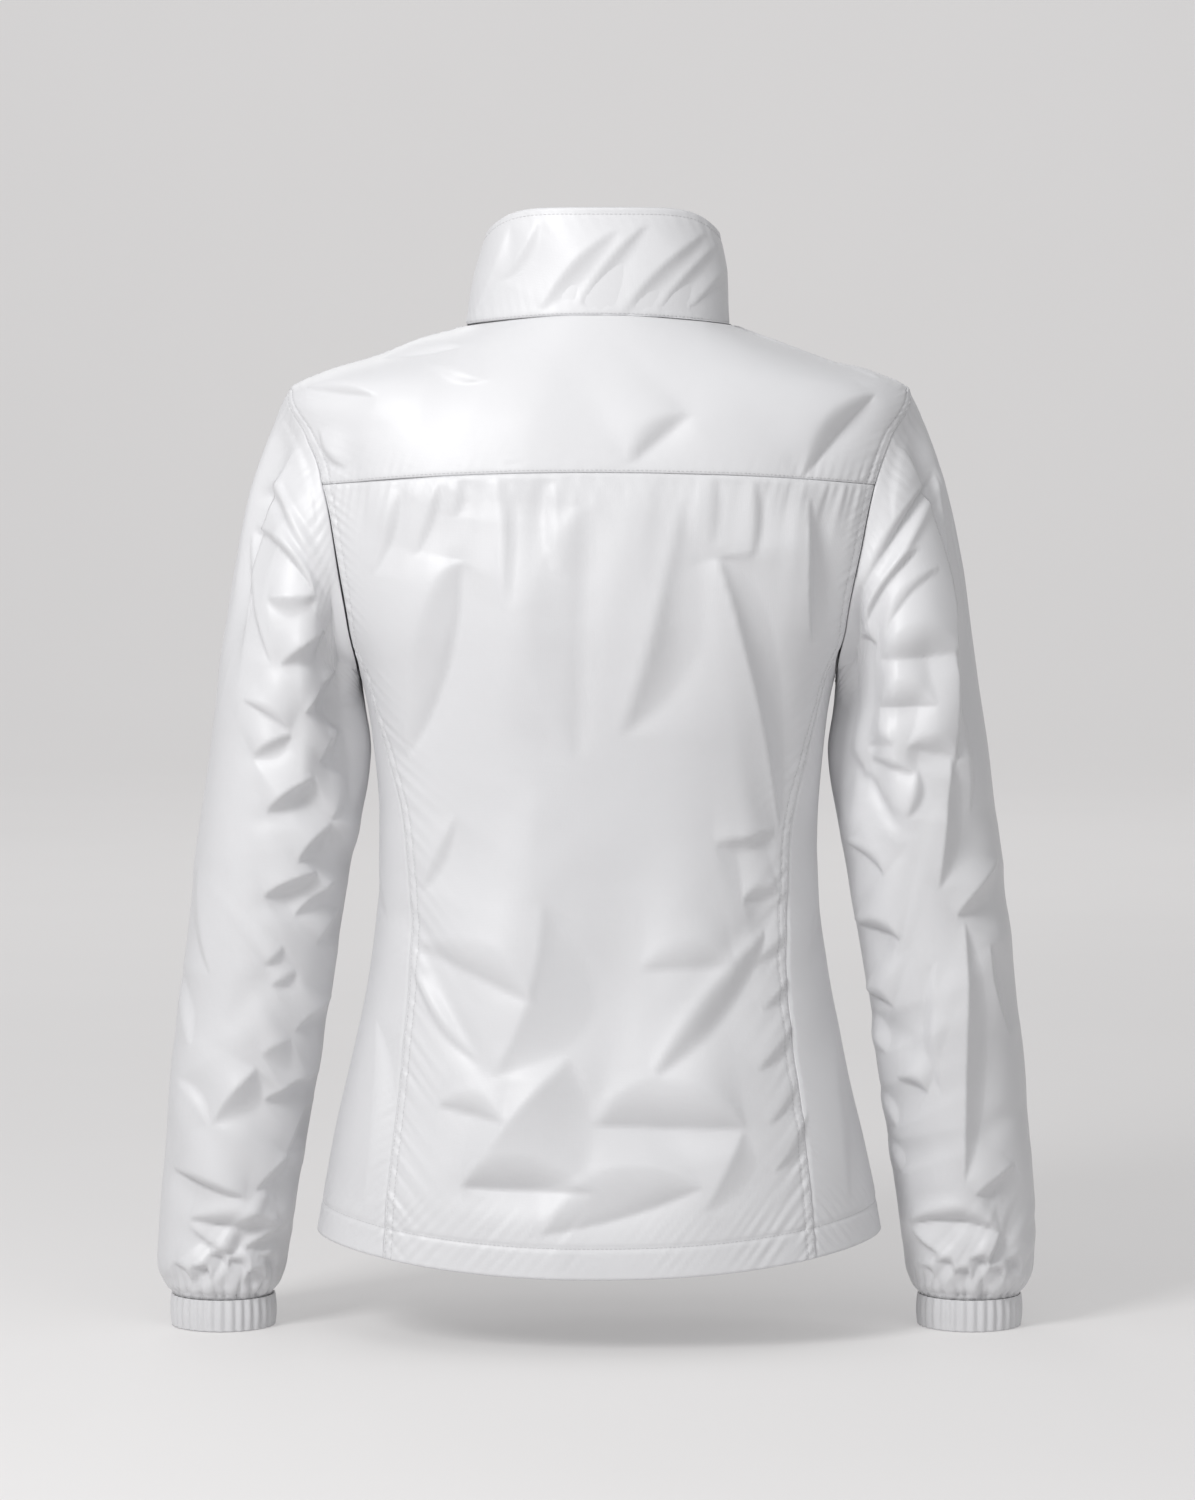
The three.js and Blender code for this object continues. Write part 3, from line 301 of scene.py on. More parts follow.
# Facets are the flat steep faces of crisp folds. The ridge runs from one point to the other and the facet
# drops from it, on its left for a width above 0, to a crease. Beyond both the cloth eases back. A peak
# above 1 makes the facet widest late along the ridge, and below 1 early. A height below 0 turns the facet
# round, so that its line is the crease. ease below 0 makes the line the crisp side, above 0 the other
# side, and 0 softens both.
FACET_COLUMNS = ("x0", "z0", "x1", "z1", "bow", "width", "height", "peak", "ease")
BACK_FACETS = table(
    FACET_COLUMNS,
    (90, -160, 128, -290, -9, 24, -7, 0.7, -0.6),
    (-78, -157, -121, -338, -4, -24, 8, 0.6, -0.5),
    (66, -104, 62, -190, 0, -9, 3, 0.8, 0),
    (6, -122, 14, -290, 0, 38, -4.8, 0.9, -0.3),
    (-53, -114, -14, -274, -4, -34, 6, 1.2, -0.4),
    (28, -104, 26, -170, 2, 8, 2.2, 0.8, 0),
    (-76, -104, -74, -150, 2, -8, 2, 0.8, 0),
    (-102, -106, -100, -158, 0, -9, 2.6, 0.9, 0),
    (-140, -118, -143, -215, 3, -11, 4.5, 1, -0.3),
    (106, -108, 122, -156, 3, -7, 2.6, 0.9, 0.5),
    (92, -104, 96, -130, 0, -5, 1.8, 0.9, 0.5),
    (132, -112, 150, -168, 3, -8, 2.6, 0.9, 0.3),
    (-76, -346, -118, -340, 0, 10, 4, 1, -0.3),
    (96, -330, 118, -380, 2, -9, 3, 1, 0),
    (-112, -406, -36, -499, 8, -24, 7.5, 1, 0),
    (-28, -430, -90, -428, 0, -20, -3.8, 1, -0.6),
    (126, -426, 78, -492, 3, 8, 3, 1.1, 0.3),
    (126, -416, 44, -451, 0, -24, -5, 1.2, -0.6),
    (38, -386, 70, -500, -9, -44, 5.4, 1, -0.5),
    (108, -521, 62, -531, 0, -16, -4.4, 1, -0.6),
    (91, -574, 20, -488, -3, 56, 7.5, 1.2, -0.5),
    (92, -574, 4, -576, 0, -24, -6, 0.8, -0.6),
    (4, -532, -97, -536, 0, -34, -7.5, 0.9, -0.6),
    (-95, -538, -70, -590, 0, -20, 3, 0.8, -0.5),
    (38, -604, -68, -574, 4, -34, -7.5, 1, -0.6),
    (-96, -386, -120, -382, 0, -10, -3.6, 1, -0.6),
    (-104, -428, -125, -408, 0, 6, 2.2, 1, 0),
    (-106, -498, -131, -468, 0, 8, 2.8, 1, 0),
    (-116, -566, -140, -528, 0, 8, 2.4, 1, 0),
    (-110, -458, -128, -438, 0, 6, 2, 1, 0),
    (-112, -534, -134, -506, 0, 6, 2, 1, 0),
    (-59, -62, -20, -95, 0, 14, -4, 0.9, -0.6),
    (-184, -50, -136, -104, 0, 17, -5, 0.9, -0.6),
    (-72, -1, -188, -40, -4, -9, -4, 0.9, -0.5),
    (144, -26, 92, -18, 0, -7, -2.6, 1, -0.5),
    (196, -46, 148, -51, 0, -7, -3, 1, -0.5),
    (112, -28, 76, -40, 0, 8, 2, 1, 0),
    (186, -74, 168, -98, 2, 6, 2.8, 1, 0.4),
    (150, -330, 142, -400, 0, 9, 2, 1, 0),
    (-146, -350, -140, -430, 0, -9, 2, 1, 0),
    (150, -470, 158, -590, -3, -14, 3, 1, 0),
    (-160, -480, -168, -590, 3, -12, 3, 1, 0),
)
FRONT_FACETS = table(
    FACET_COLUMNS,
    (-96, -170, -122, -280, -10, 15, 7, 0.7, -0.5),
    (98, -150, 114, -285, 8, -15, 7, 0.7, -0.5),
    (152, -92, 98, -140, -5, 13, 5, 0.8, -0.3),
    (-148, -90, -98, -146, 5, -13, 5, 0.8, -0.3),
    (40, -330, 112, -420, 8, 15, 6, 0.8, -0.5),
    (-44, -350, -110, -410, -8, -15, 6, 0.8, -0.5),
    (100, -530, 34, -575, 6, 14, 5, 0.9, 0),
    (-96, -520, -36, -560, -6, -14, 5, 0.9, 0),
)
LEFT_SLEEVE_FACETS = table(
    FACET_COLUMNS,
    (215, -65, 189, -136, -3, -5, 4.6, 1, 0.2),
    (206, -80, 183, -134, -2, -5, 3, 1, 0.3),
    (232, -139, 190, -181, -4, -7, -5, 1, -0.6),
    (234, -144, 219, -228, 3, 5, 3, 1, 0),
    (221, -186, 188, -184, 0, 13, 4.4, 1, -0.6),
    (213, -230, 178, -209, -3, 17, 8, 1.3, -0.4),
    (196, -263, 166, -238, -3, 19, 9, 1.3, -0.4),
    (238, -254, 206, -274, 0, -8, -3.6, 1, -0.6),
    (232, -292, 205, -276, -3, 12, 5.4, 1, -0.4),
    (184, -297, 161, -272, -3, 19, 8.5, 1.2, -0.4),
    (223, -329, 189, -306, -4, 17, 8, 1.2, -0.4),
    (178, -335, 160, -308, -2, 14, 6.5, 1.2, -0.4),
    (203, -362, 178, -339, -4, 17, 8, 1.2, -0.4),
    (225, -386, 188, -370, -4, 12, 6.5, 1, -0.4),
    (204, -400, 173, -376, -3, 14, 6.5, 1.2, -0.4),
    (190, -420, 173, -400, -2, 12, 5, 1.2, -0.3),
    (225, -432, 212, -420, -2, 9, 3, 1, 0),
    (220, -446, 203, -438, -3, 10, 3.6, 1, 0),
    (205, -479, 181, -460, -3, 14, 5.5, 1.2, -0.4),
    (227, -493, 208, -485, -3, 22, 4.5, 1, -0.2),
    (225, -526, 191, -511, -3, 12, 6, 1, -0.4),
    (260, -541, 231, -503, -3, 22, 7, 1.3, -0.3),
    (212, -563, 193, -528, -2, 14, 6, 1.2, -0.4),
    (234, -587, 211, -565, -2, 13, 5.5, 1.2, -0.4),
    (285, -513, 263, -541, 0, -9, 2.4, 1, 0),
    (290, -575, 240, -591, 2, -8, -6, 1, -0.6),
    (278, -608, 218, -612, 2, -14, -8, 1, -0.6),
    (241, -628, 214, -613, -2, 9, 5.5, 1, -0.4),
    (278, -613, 246, -630, 0, 5, 3, 1, 0.5),
    (270, -370, 262, -440, 2, 8, 2.6, 1, 0),
    (289, -640, 277, -652, -3, -6, -3.8, 1, -0.5),
    (276, -641, 264, -650, -4, -6, -4.2, 1, -0.5),
    (266, -633, 252, -642, -4, -7, -4.4, 1, -0.5),
    (252, -637, 239, -647, -5, -7, -4.4, 1, -0.5),
    (240, -646, 228, -652, -4, -6, -4, 1, -0.5),
    (231, -634, 220, -645, -3, -6, -3.6, 1, -0.5),
    (286, -440, 276, -490, 2, -8, 2.6, 1, 0),
)
RIGHT_SLEEVE_FACETS = table(
    FACET_COLUMNS,
    (-214, -62, -196, -134, 3, 8, 3.6, 0.9, 0),
    (-160, -204, -226, -102, -2, -7, -5.5, 1, -0.6),
    (-176, -204, -214, -152, -4, -8, -3.4, 1, -0.4),
    (-190, -210, -226, -166, -4, -8, -2.6, 1, -0.4),
    (-227, -104, -237, -298, -4, -17, 6.5, 1, -0.5),
    (-235, -292, -228, -380, 0, -15, 5.5, 1, -0.5),
    (-246, -404, -247, -580, 0, -18, 7, 1, -0.5),
    (-160, -213, -183, -218, 0, -9, -5, 1, -0.6),
    (-186, -227, -241, -222, 0, -24, -5.6, 1, -0.6),
    (-184, -259, -225, -257, 0, -20, -4.8, 1, -0.6),
    (-172, -286, -198, -283, 0, -14, -3.8, 1, -0.6),
    (-206, -285, -238, -292, 0, -15, -4.2, 1, -0.6),
    (-174, -296, -212, -303, 0, -8, -4, 1, -0.6),
    (-213, -300, -206, -332, 0, -9, 3.4, 1, 0),
    (-236, -228, -252, -330, 0, -9, 3, 1, 0),
    (-166, -352, -192, -372, 0, -9, -5, 1, -0.6),
    (-173, -408, -203, -416, 0, -12, -6.4, 1, -0.6),
    (-179, -457, -199, -463, 0, -11, -5.4, 1, -0.6),
    (-183, -470, -195, -495, 2, -8, 4.4, 1, 0),
    (-202, -513, -222, -520, 0, -10, -5, 1, -0.6),
    (-190, -520, -202, -546, 0, -5, 3, 1, 0),
    (-198, -556, -206, -578, 0, -5, 3, 1, 0),
    (-240, -399, -270, -364, -2, 17, 6.5, 1, -0.3),
    (-263, -420, -281, -482, 4, -10, 5, 1, -0.4),
    (-254, -590, -282, -571, -2, 10, 5, 1, -0.4),
    (-211, -613, -271, -616, -6, -13, -8, 1, -0.6),
    (-213, -618, -233, -632, 0, 7, 4.4, 1, -0.3),
    (-271, -616, -260, -637, 0, -9, 4.4, 1, -0.3),
    (-226, -430, -232, -520, 2, 10, 2.6, 1, 0),
    (-217, -642, -228, -650, -3, -6, -3.8, 1, -0.5),
    (-228, -636, -241, -646, -4, -7, -4.2, 1, -0.5),
    (-240, -644, -252, -650, -4, -6, -4.2, 1, -0.5),
    (-250, -635, -263, -642, -4, -7, -4.4, 1, -0.5),
    (-262, -642, -274, -650, -4, -6, -4, 1, -0.5),
    (-274, -636, -286, -646, -3, -6, -3.6, 1, -0.5),
)
COLLAR_FACETS = table(
    FACET_COLUMNS,
    (84, 4, 60, 64, 3, 9, 2.2, 1, -0.3),
    (66, 26, 40, 66, 2, 9, 2.2, 1, -0.3),
    (40, 6, -12, 60, -5, 13, 2.8, 1, -0.3),
    (14, 8, -32, 64, -4, 10, 2.8, 1, -0.3),
    (-16, 4, -72, 58, -5, 12, 3, 1, -0.3),
    (-40, 6, -80, 50, -3, 9, 2.4, 1, -0.3),
    (-60, 6, -86, 34, 0, 8, 2, 1, -0.3),
)
COLLAR_CLEAR = (14, 30)
FACET_RISE = 20
FACET_FALL = 32
FACET_DEPTH = 1.5
FACET_EASE = 1.85

# The sleeve is hollowed beside the body, under the arm
HOLLOW_DEPTH = 12
HOLLOW_INNER = (0.6, 0.84)
HOLLOW_BOTTOM = (-345, -300)
HOLLOW_TOP = (-185, -150)
HOLLOW_FACING = (0.02, 0.4)
HOLLOW_START = (0, 0.08)

FOLD_HIDDEN = -0.25
FOLD_FULL = 0.3
FOLD_TIP_SHARE = 0.14
FOLD_TAIL_SHARE = 0.9
FOLD_ROUNDNESS = 0.7
LATTICE_SIZE = 64


def mix(a, b, t):
    return a + (b - a) * t


def smoothstep(value, low, high):
    t = np.clip((value - low) / (high - low), 0, 1)
    return t * t * (3 - 2 * t)


def signed_power(value, power):
    return np.sign(value) * np.abs(value) ** power


def unit(vectors):
    length = np.linalg.norm(vectors, axis=-1, keepdims=True)
    return vectors / np.maximum(length, 1e-9)


def dot(a, b):
    return (a * b).sum(-1, keepdims=True)


def xyz(x, y, z):
    return np.stack(np.broadcast_arrays(x, y, z), -1).astype(float)


def curve(start, leave, end, arrive, t):
    """Smooth curve between two values or points with a slope at each, at t from 0 to 1."""
    share = 2 * t**3 - 3 * t**2 + 1
    return start * share + leave * (t**3 - 2 * t**2 + t) + end * (1 - share) + arrive * (t**3 - t**2)


def smooth_column(rows, column, place):
    """The value of one column at places between the rows, on a smooth curve through them."""
    at, values = rows["at"], rows[column]
    place = np.asarray(place, float)
    i = np.clip(np.searchsorted(at, place) - 1, 0, len(at) - 2)
    before = np.maximum(i - 1, 0)
    after = np.minimum(i + 2, len(at) - 1)
    span = at[i + 1] - at[i]
    slope_a = (values[i + 1] - values[before]) / (at[i + 1] - at[before]) * span
    slope_b = (values[after] - values[i]) / (at[after] - at[i]) * span
    t = np.clip((place - at[i]) / span, 0, 1)
    return curve(values[i], slope_a, values[i + 1], slope_b, t)


def outward(surface, u, v, step_u, step_v):
    """Direction across a surface at two parameters, from small steps along each."""
    du = surface(u + step_u, v) - surface(u - step_u, v)
    dv = surface(u, v + step_v) - surface(u, v - step_v)
    return unit(np.cross(du, dv))


def beside_lines(rows, points):
    """For each line of a table: share along it, distance past its ends and to its left, and the rest."""
    x, z = points[..., 0], points[..., 2]
    for x0, z0, x1, z1, bow, *rest in zip(*rows.values()):
        length = math.hypot(x1 - x0, z1 - z0)
        along_x, along_z = (x1 - x0) / length, (z1 - z0) / length
        along = ((x - x0) * along_x + (z - z0) * along_z) / length
        inside = np.clip(along, 0, 1)
        left = (z - z0) * along_x - (x - x0) * along_z - 4 * bow * inside * (1 - inside)
        yield inside, (along - inside) * length, left, *rest


def fold_offset(folds, points, facing):
    """How far folds on one face move the cloth, out of it. facing is 1 where the cloth faces that way."""
    offset = np.zeros(facing.shape)
    for inside, past, left, tip, wide, depth in beside_lines(folds, points):
        spread = mix(tip, wide, inside)
        fade = np.sin(math.pi * mix(FOLD_TIP_SHARE, FOLD_TAIL_SHARE, inside)) ** FOLD_ROUNDNESS
        offset += depth * fade * np.exp(-((left / spread) ** 2) - (past / spread) ** 2)
    return offset * smoothstep(facing, FOLD_HIDDEN, FOLD_FULL)


def facet_offset(facets, points, facing):
    """How far crisp folds on one face move the cloth, out of it."""
    offset = np.zeros(facing.shape)
    for inside, _, left, width, height, peak, ease in beside_lines(facets, points):
        share = np.sin(math.pi * inside**peak) ** 0.75
        below = left * np.sign(width) / np.maximum(abs(width) * share, 0.5)
        t = np.clip(below, 0, 1)
        if ease == 0:
            t = smoothstep(t, 0, 1)
        elif ease > 0:
            t = t ** (FACET_EASE + 0.3 * ease)
        else:
            t = 1 - (1 - t) ** (FACET_EASE - 0.3 * ease)
        above = np.exp(-np.abs(left) / np.maximum(FACET_RISE * share, 0.5) * (below < 0))
        after = np.exp(-np.maximum(below - 1, 0) * abs(width) / FACET_FALL)
        offset += FACET_DEPTH * height * share * (0.5 - t) * np.where(below < 0, above, after)
    return offset * smoothstep(facing, FOLD_HIDDEN, FOLD_FULL)


def torso_base(angle, height):
    """Torso before its folds: angle in radians from the centre back towards the wearer's left."""
    angle, height = np.broadcast_arrays(angle, height)
    c, s = np.cos(angle), np.sin(angle)

    def ring(column):
        return smooth_column(TORSO_RINGS, column, height)

    def back_or_front(back, front):
        return np.where(c >= 0, ring(back), ring(front))

    power = 2 / ring("power")
    return xyz(
        ring("half_width") * signed_power(s, power),
        back_or_front("back_depth", "front_depth") * signed_power(c, power),
        mix(height, back_or_front("back", "front"), c * c),
    )


def torso_at(angle, height):
    safe_height = np.clip(height, HEM + 1, NECK - 1)
    normals = -outward(torso_base, angle, safe_height, 0.01, 1)
    return torso_base(angle, height), normals


def torso_folds(points, normals):
    facing = normals[..., 1]
    back = fold_offset(TORSO_BACK_FOLDS, points, facing) + facet_offset(BACK_FACETS, points, facing)
    front = fold_offset(TORSO_FRONT_FOLDS, points, -facing) + facet_offset(FRONT_FACETS, points, -facing)
    return back + front


def armhole_height(turn):
    return ARMHOLE_CENTRE + ARMHOLE_HALF_HEIGHT * np.cos(turn)


def armhole_angle(turn):
    """Angle round the torso of the armhole's edge. turn runs from the shoulder point by the back."""
    s = np.sin(turn)
    reach = np.where(s >= 0, ARMHOLE_BACK_DEGREES, ARMHOLE_FRONT_DEGREES)
    return np.radians(90 - reach * s)


def armhole_turn(height):
    return np.arccos(np.clip((height - ARMHOLE_CENTRE) / ARMHOLE_HALF_HEIGHT, -1, 1))


YOKE_BOTTOM = float(armhole_height(YOKE_TURN))
PANEL_TOP = float(armhole_height(PANEL_TURN))


def side_edge(height, column):
    """Angle of a back's or front's side edge: shoulder, then armhole, then the panel seam."""
    turn = armhole_turn(height) * (1 if column == "back" else -1)
    below = np.radians(smooth_column(SIDE_SEAMS, column, height))
    edge = np.where(height >= PANEL_TOP, armhole_angle(turn), below)
    return np.where(height >= SHOULDER_POINT, math.radians(90), edge)


def zip_edge(height, distance):
    half_width = smooth_column(TORSO_RINGS, "half_width", height)
    power = smooth_column(TORSO_RINGS, "power", height)
    return math.pi - np.arcsin((distance / half_width) ** (power / 2))


def collar_base(angle, rise):
    angle, rise = np.broadcast_arrays(angle, rise)
    c, s = np.cos(angle), np.sin(angle)
    back = c >= 0

    def ring(column):
        return smooth_column(COLLAR_RINGS, column, rise)

    level = 1 - np.abs(s) ** mix(2, COLLAR_TOP_POWER, np.where(back, rise, 0))
    return xyz(
        ring("half_width") * s + ring("lean"),
        np.where(back, ring("back_depth"), ring("front_depth")) * c,
        mix(ring("side"), np.where(back, ring("back"), ring("front")), level),
    )


def collar_at(angle, rise):
    normals = -outward(collar_base, angle, np.clip(rise, 0.02, 0.98), 0.01, 0.01)
    return collar_base(angle, rise), normals


def collar_zip_edge(rise, distance):
    return math.pi - np.arcsin(distance / smooth_column(COLLAR_RINGS, "half_width", rise))


def sleeve_section(name, turn, height):
    """Sleeve ring at a height: turn starts at the outer side and runs by the back."""
    side = HANDS[name]
    elbow, wrist = SLEEVE_SWING[name]
    below_elbow = 1 - smoothstep(height, SLEEVE_BOTTOM, ELBOW_RANGE[0])
    swung = mix(elbow * (1 - smoothstep(height, *ELBOW_RANGE)), wrist, below_elbow)

    def section(column):
        return smooth_column(SLEEVE_SECTIONS, column, height)

    outer, inner = section("outer"), section("inner")
    back, front = section("back"), section("front")
    return xyz(
        side * ((outer + inner) / 2 + swung + (outer - inner) / 2 * np.cos(turn)),
        (back + front) / 2 + (back - front) / 2 * np.sin(turn),
        height,
    )


def sleeve_start(name, turn):
    """Where the sleeve's cloth starts at the armhole and which way it leaves."""
    side = HANDS[name]
    angle, height = armhole_angle(turn), armhole_height(turn)
    point, out = torso_at(side * angle, height)
    point = point + out * torso_folds(point, out)[..., None]
    ahead = torso_base(side * (angle + 0.02 * np.sin(turn)), height - 2 * np.cos(turn))
    ahead = ahead - torso_base(side * angle, height)
    into_hole = unit(ahead - out * dot(ahead, out))
    way = np.where(turn > math.pi, 2 * math.pi - turn, turn) / math.pi
    bend = np.radians(HEAD_TURN_START + HEAD_TURN_RANGE * np.abs(way) ** HEAD_TURN_DELAY)[..., None]
    edge_bend = np.maximum(bend, 0)
    leaves = into_hole * np.cos(bend) + out * np.sin(bend)
    start = (
        point
        + into_hole * SEAM_GAP * np.cos(edge_bend / 2)
        + out * HEAD_SIDE_CLEARANCE * np.sin(edge_bend / 2) ** 2
    )
    return start, leaves


def sleeve_base(name, turn, place):
    """The sleeve before its folds: place is 0 at the armhole, 1 at the underarm and 2 at the cuff."""
    turn, place = np.broadcast_arrays(turn, place)
    lower = sleeve_section(name, turn, mix(SLEEVE_TOP, SLEEVE_BOTTOM, np.maximum(place - 1, 0)))
    start, leaves = sleeve_start(name, turn)
    end = sleeve_section(name, turn, np.full(turn.shape, float(SLEEVE_TOP)))
    below = unit(sleeve_section(name, turn, np.full(turn.shape, SLEEVE_TOP - 4.0)) - end)
    reach = np.linalg.norm(end - start, axis=-1, keepdims=True)
    t = np.minimum(place, 1)[..., None]
    head = curve(start, leaves * reach * HEAD_FULLNESS, end, below * reach * HEAD_DROP, t)
    return np.where(place[..., None] < 1, head, lower)


def sleeve_at(name, turn, place):
    side = HANDS[name]
    normals = outward(lambda u, v: sleeve_base(name, u, v), turn, np.clip(place, 0.02, 1.99), 0.01, 0.005)
    return sleeve_base(name, turn, place), normals * -side


def sleeve_folds(name, points, normals, turn, place):
    back, front, facets = {
        "left": (LEFT_SLEEVE_BACK_FOLDS, LEFT_SLEEVE_FRONT_FOLDS, LEFT_SLEEVE_FACETS),
        "right": (RIGHT_SLEEVE_BACK_FOLDS, RIGHT_SLEEVE_FRONT_FOLDS, RIGHT_SLEEVE_FACETS),
    }[name]
    facing, height = normals[..., 1], points[..., 2]
    inner = (1 - np.cos(turn)) / 2
    beside_body = smoothstep(height, TOUCH_BOTTOM - TOUCH_FADE, TOUCH_BOTTOM)
    raise_share = 1 - smoothstep(inner, *RAISE_CLEAR) * beside_body
    sink_share = 1 - smoothstep(inner, *SINK_CLEAR) * beside_body
    ends = smoothstep(place, *SLEEVE_FOLDS_START) * (1 - smoothstep(place, *SLEEVE_FOLDS_END))
    both = fold_offset(back, points, facing) + fold_offset(front, points, -facing)
    both = both + facet_offset(facets, points, facing)
    beside = smoothstep(inner, *HOLLOW_INNER) * smoothstep(height, *HOLLOW_BOTTOM)
    hollow = HOLLOW_DEPTH * beside * (1 - smoothstep(height, *HOLLOW_TOP))
    hollow = hollow * smoothstep(facing, *HOLLOW_FACING) * smoothstep(place, *HOLLOW_START)
    return (np.minimum(both, 0) * sink_share + np.maximum(both, 0) * raise_share) * ends - hollow


def lengths(points, axis):
    """Distance along a grid's rows or columns from their first place."""
    steps = np.linalg.norm(np.diff(points, axis=axis), axis=-1)
    start = np.zeros_like(np.take(steps, [0], axis=axis))
    return np.concatenate([start, np.cumsum(steps, axis=axis)], axis=axis)


def wander(places, pitch, seed):
    """Smooth uneven waves from -1 to 1 along a line, with crests about two pitches apart."""
    random = np.random.default_rng(seed)
    low, high = places.min() - 3 * pitch, places.max() + 3 * pitch
    knots = low + np.cumsum(random.uniform(0.55, 1.45, int((high - low) / pitch) + 8)) * pitch
    signs = np.where(np.arange(len(knots)) % 2, 1, -1)
    values = signs * random.uniform(0.35, 1, len(knots))
    i = np.clip(np.searchsorted(knots, places) - 1, 0, len(knots) - 2)
    t = smoothstep((places - knots[i]) / (knots[i + 1] - knots[i]), 0, 1)
    return mix(values[i], values[i + 1], t)


def lattice_noise(points, size, seed):
    """Smooth noise from -1 to 1, with features of about the given size along X, Y and Z."""
    lattice = np.random.default_rng(seed).uniform(-1, 1, (LATTICE_SIZE,) * 3)
    scaled = points / np.asarray(size, float)
    whole = np.floor(scaled).astype(int)
    t = scaled - whole
    t = t * t * (3 - 2 * t)
    total = np.zeros(points.shape[:-1])
    for corner in np.ndindex(2, 2, 2):
        x, y, z = np.moveaxis((whole + corner) % LATTICE_SIZE, -1, 0)
        share = np.prod(np.where(corner, t, 1 - t), axis=-1)
        total += share * lattice[x, y, z]
    return total


def along_line(places, along, values):
    """Points or directions at places along a line, from those at known distances along it."""
    return np.stack([np.interp(places, along, values[:, k]) for k in range(3)], -1)


class Cloth:
    """One cut piece: a grid on its solid's outer face, and how far each place is raised."""

    def __init__(self, points, normals):
        self.base = points
        self.normals = normals
        self.raised = np.zeros(points.shape[:2])
        self.across = lengths(points, 1)
        self.up = lengths(points, 0)

    def edge(self, name):
        """Distance from an edge, and distance along it."""
        return {
            "left": (self.across, self.up),
            "right": (self.across[:, -1:] - self.across, self.up),
            "bottom": (self.up, self.across),
            "top": (self.up[-1:] - self.up, self.across),
        }[name]

    def surface(self):
        return self.base + self.normals * self.raised[..., None]

    def groove(self, edge, at=0.0, depth=0.8, width=1.6):
        """Pressed line along a seam or a row of stitches."""
        distance, _ = self.edge(edge)
        self.raised -= depth * np.exp(-(((distance - at) / width) ** 2))

    def pucker(self, edge, pitch, reach, height, seed, slant=0.0, ends=(0, 1), at=0.0):
        """Small uneven gathers that stand across a seam, or a row of stitches, and die away from it."""
        distance, along = self.edge(edge)
        waves = wander(along + slant * distance, pitch, seed)
        strong = 0.65 + 0.35 * wander(along, pitch * 6, seed + 1)
        away = np.abs(distance - at) / reach
        near = away * np.exp(1 - away)
        share = along / max(along.max(), 1)
        inside = (share >= ends[0]) & (share <= ends[1])
        self.raised += height * waves * strong * near * inside

    def crumple(self, height, size, seed):
        """Shallow unevenness all over, in soft facets."""
        soft = lattice_noise(self.base, size, seed)
        facet = 1 - 2 * np.abs(lattice_noise(self.base, np.asarray(size, float) * 1.7, seed + 1))
        self.raised += height * (0.6 * soft + 0.4 * facet)

    def line(self, edge, distance):
        """Points and outward directions along a line at a distance from an edge."""
        from_edge, _ = self.edge(edge)
        surface, normals = self.surface(), self.normals
        if edge in ("bottom", "top"):
            from_edge, surface, normals = from_edge.T, surface.swapaxes(0, 1), normals.swapaxes(0, 1)
        step = -1 if edge in ("right", "top") else 1
        points, ways = [], []
        for row, places, directions in zip(from_edge, surface, normals):
            points.append(along_line(distance, row[::step], places[::step]))
            ways.append(along_line(distance, row[::step], directions[::step]))
        return np.array(points), unit(np.array(ways))


def graded(cells, dense):
    """Shares from 0 to 1 with smaller steps near both ends. dense is 0 for even steps."""
    t = np.linspace(0, 1, cells + 1)
    return t - dense * np.sin(2 * math.pi * t) / (2 * math.pi)


def trim(points, left=True, right=True, bottom=True, top=True):
    """Pulls the edges in by half of the seam gap."""
    points = points.copy()
    for use, end, next_one in (
        (bottom, (0, slice(None)), (1, slice(None))),
        (top, (-1, slice(None)), (-2, slice(None))),
        (left, (slice(None), 0), (slice(None), 1)),
        (right, (slice(None), -1), (slice(None), -2)),
    ):
        if use:
            points[end] += unit(points[next_one] - points[end]) * HALF_GAP
    return points


def new_mesh(name, points, faces, smooth=True):
    """Mesh from points in millimetres and faces of four corners."""
    mesh = bpy.data.meshes.new(name)
    mesh.from_pydata((points.reshape(-1, 3) * MM).tolist(), [], faces.tolist())
    mesh.polygons.foreach_set("use_smooth", np.full(len(faces), smooth))
    mesh.uv_layers.new(name="cloth")
    return mesh


def repeated(faces, corners, count):
    """Faces of many like bodies, each with its own run of corners."""
    return (np.array(faces)[None] + corners * np.arange(count)[:, None, None]).reshape(-1, 4)


def grid_mesh(name, points, closed=False, like=None):
    """Mesh on a grid of points, facing the way of like, with its own lengths as texture map."""
    rows, columns = points.shape[:2]
    cells = columns if closed else columns - 1
    i, j = np.meshgrid(np.arange(rows - 1), np.arange(cells), indexing="ij")
    after = (j + 1) % columns
    corners = [i * columns + j, i * columns + after, (i + 1) * columns + after, (i + 1) * columns + j]
    faces = np.stack(corners, -1).reshape(-1, 4)
    wrapped = np.concatenate([points, points[:, :1]], axis=1) if closed else points
    u = lengths(wrapped, 1).mean(axis=0) * MM
    v = lengths(points, 0).mean(axis=1) * MM
    places = [(u[j], v[i]), (u[j + 1], v[i]), (u[j + 1], v[i + 1]), (u[j], v[i + 1])]
    loops = np.stack([np.stack(place, -1).reshape(-1, 2) for place in places], 1)
    if like is not None:
        first, second, _, last = points.reshape(-1, 3)[faces[len(faces) // 2]]
        if np.dot(np.cross(second - first, last - first), like) < 0:
            faces, loops = faces[:, ::-1], loops[:, ::-1]
    mesh = new_mesh(name, points, faces)
    mesh.uv_layers["cloth"].data.foreach_set("uv", loops.ravel())
    mesh.update()
    return mesh


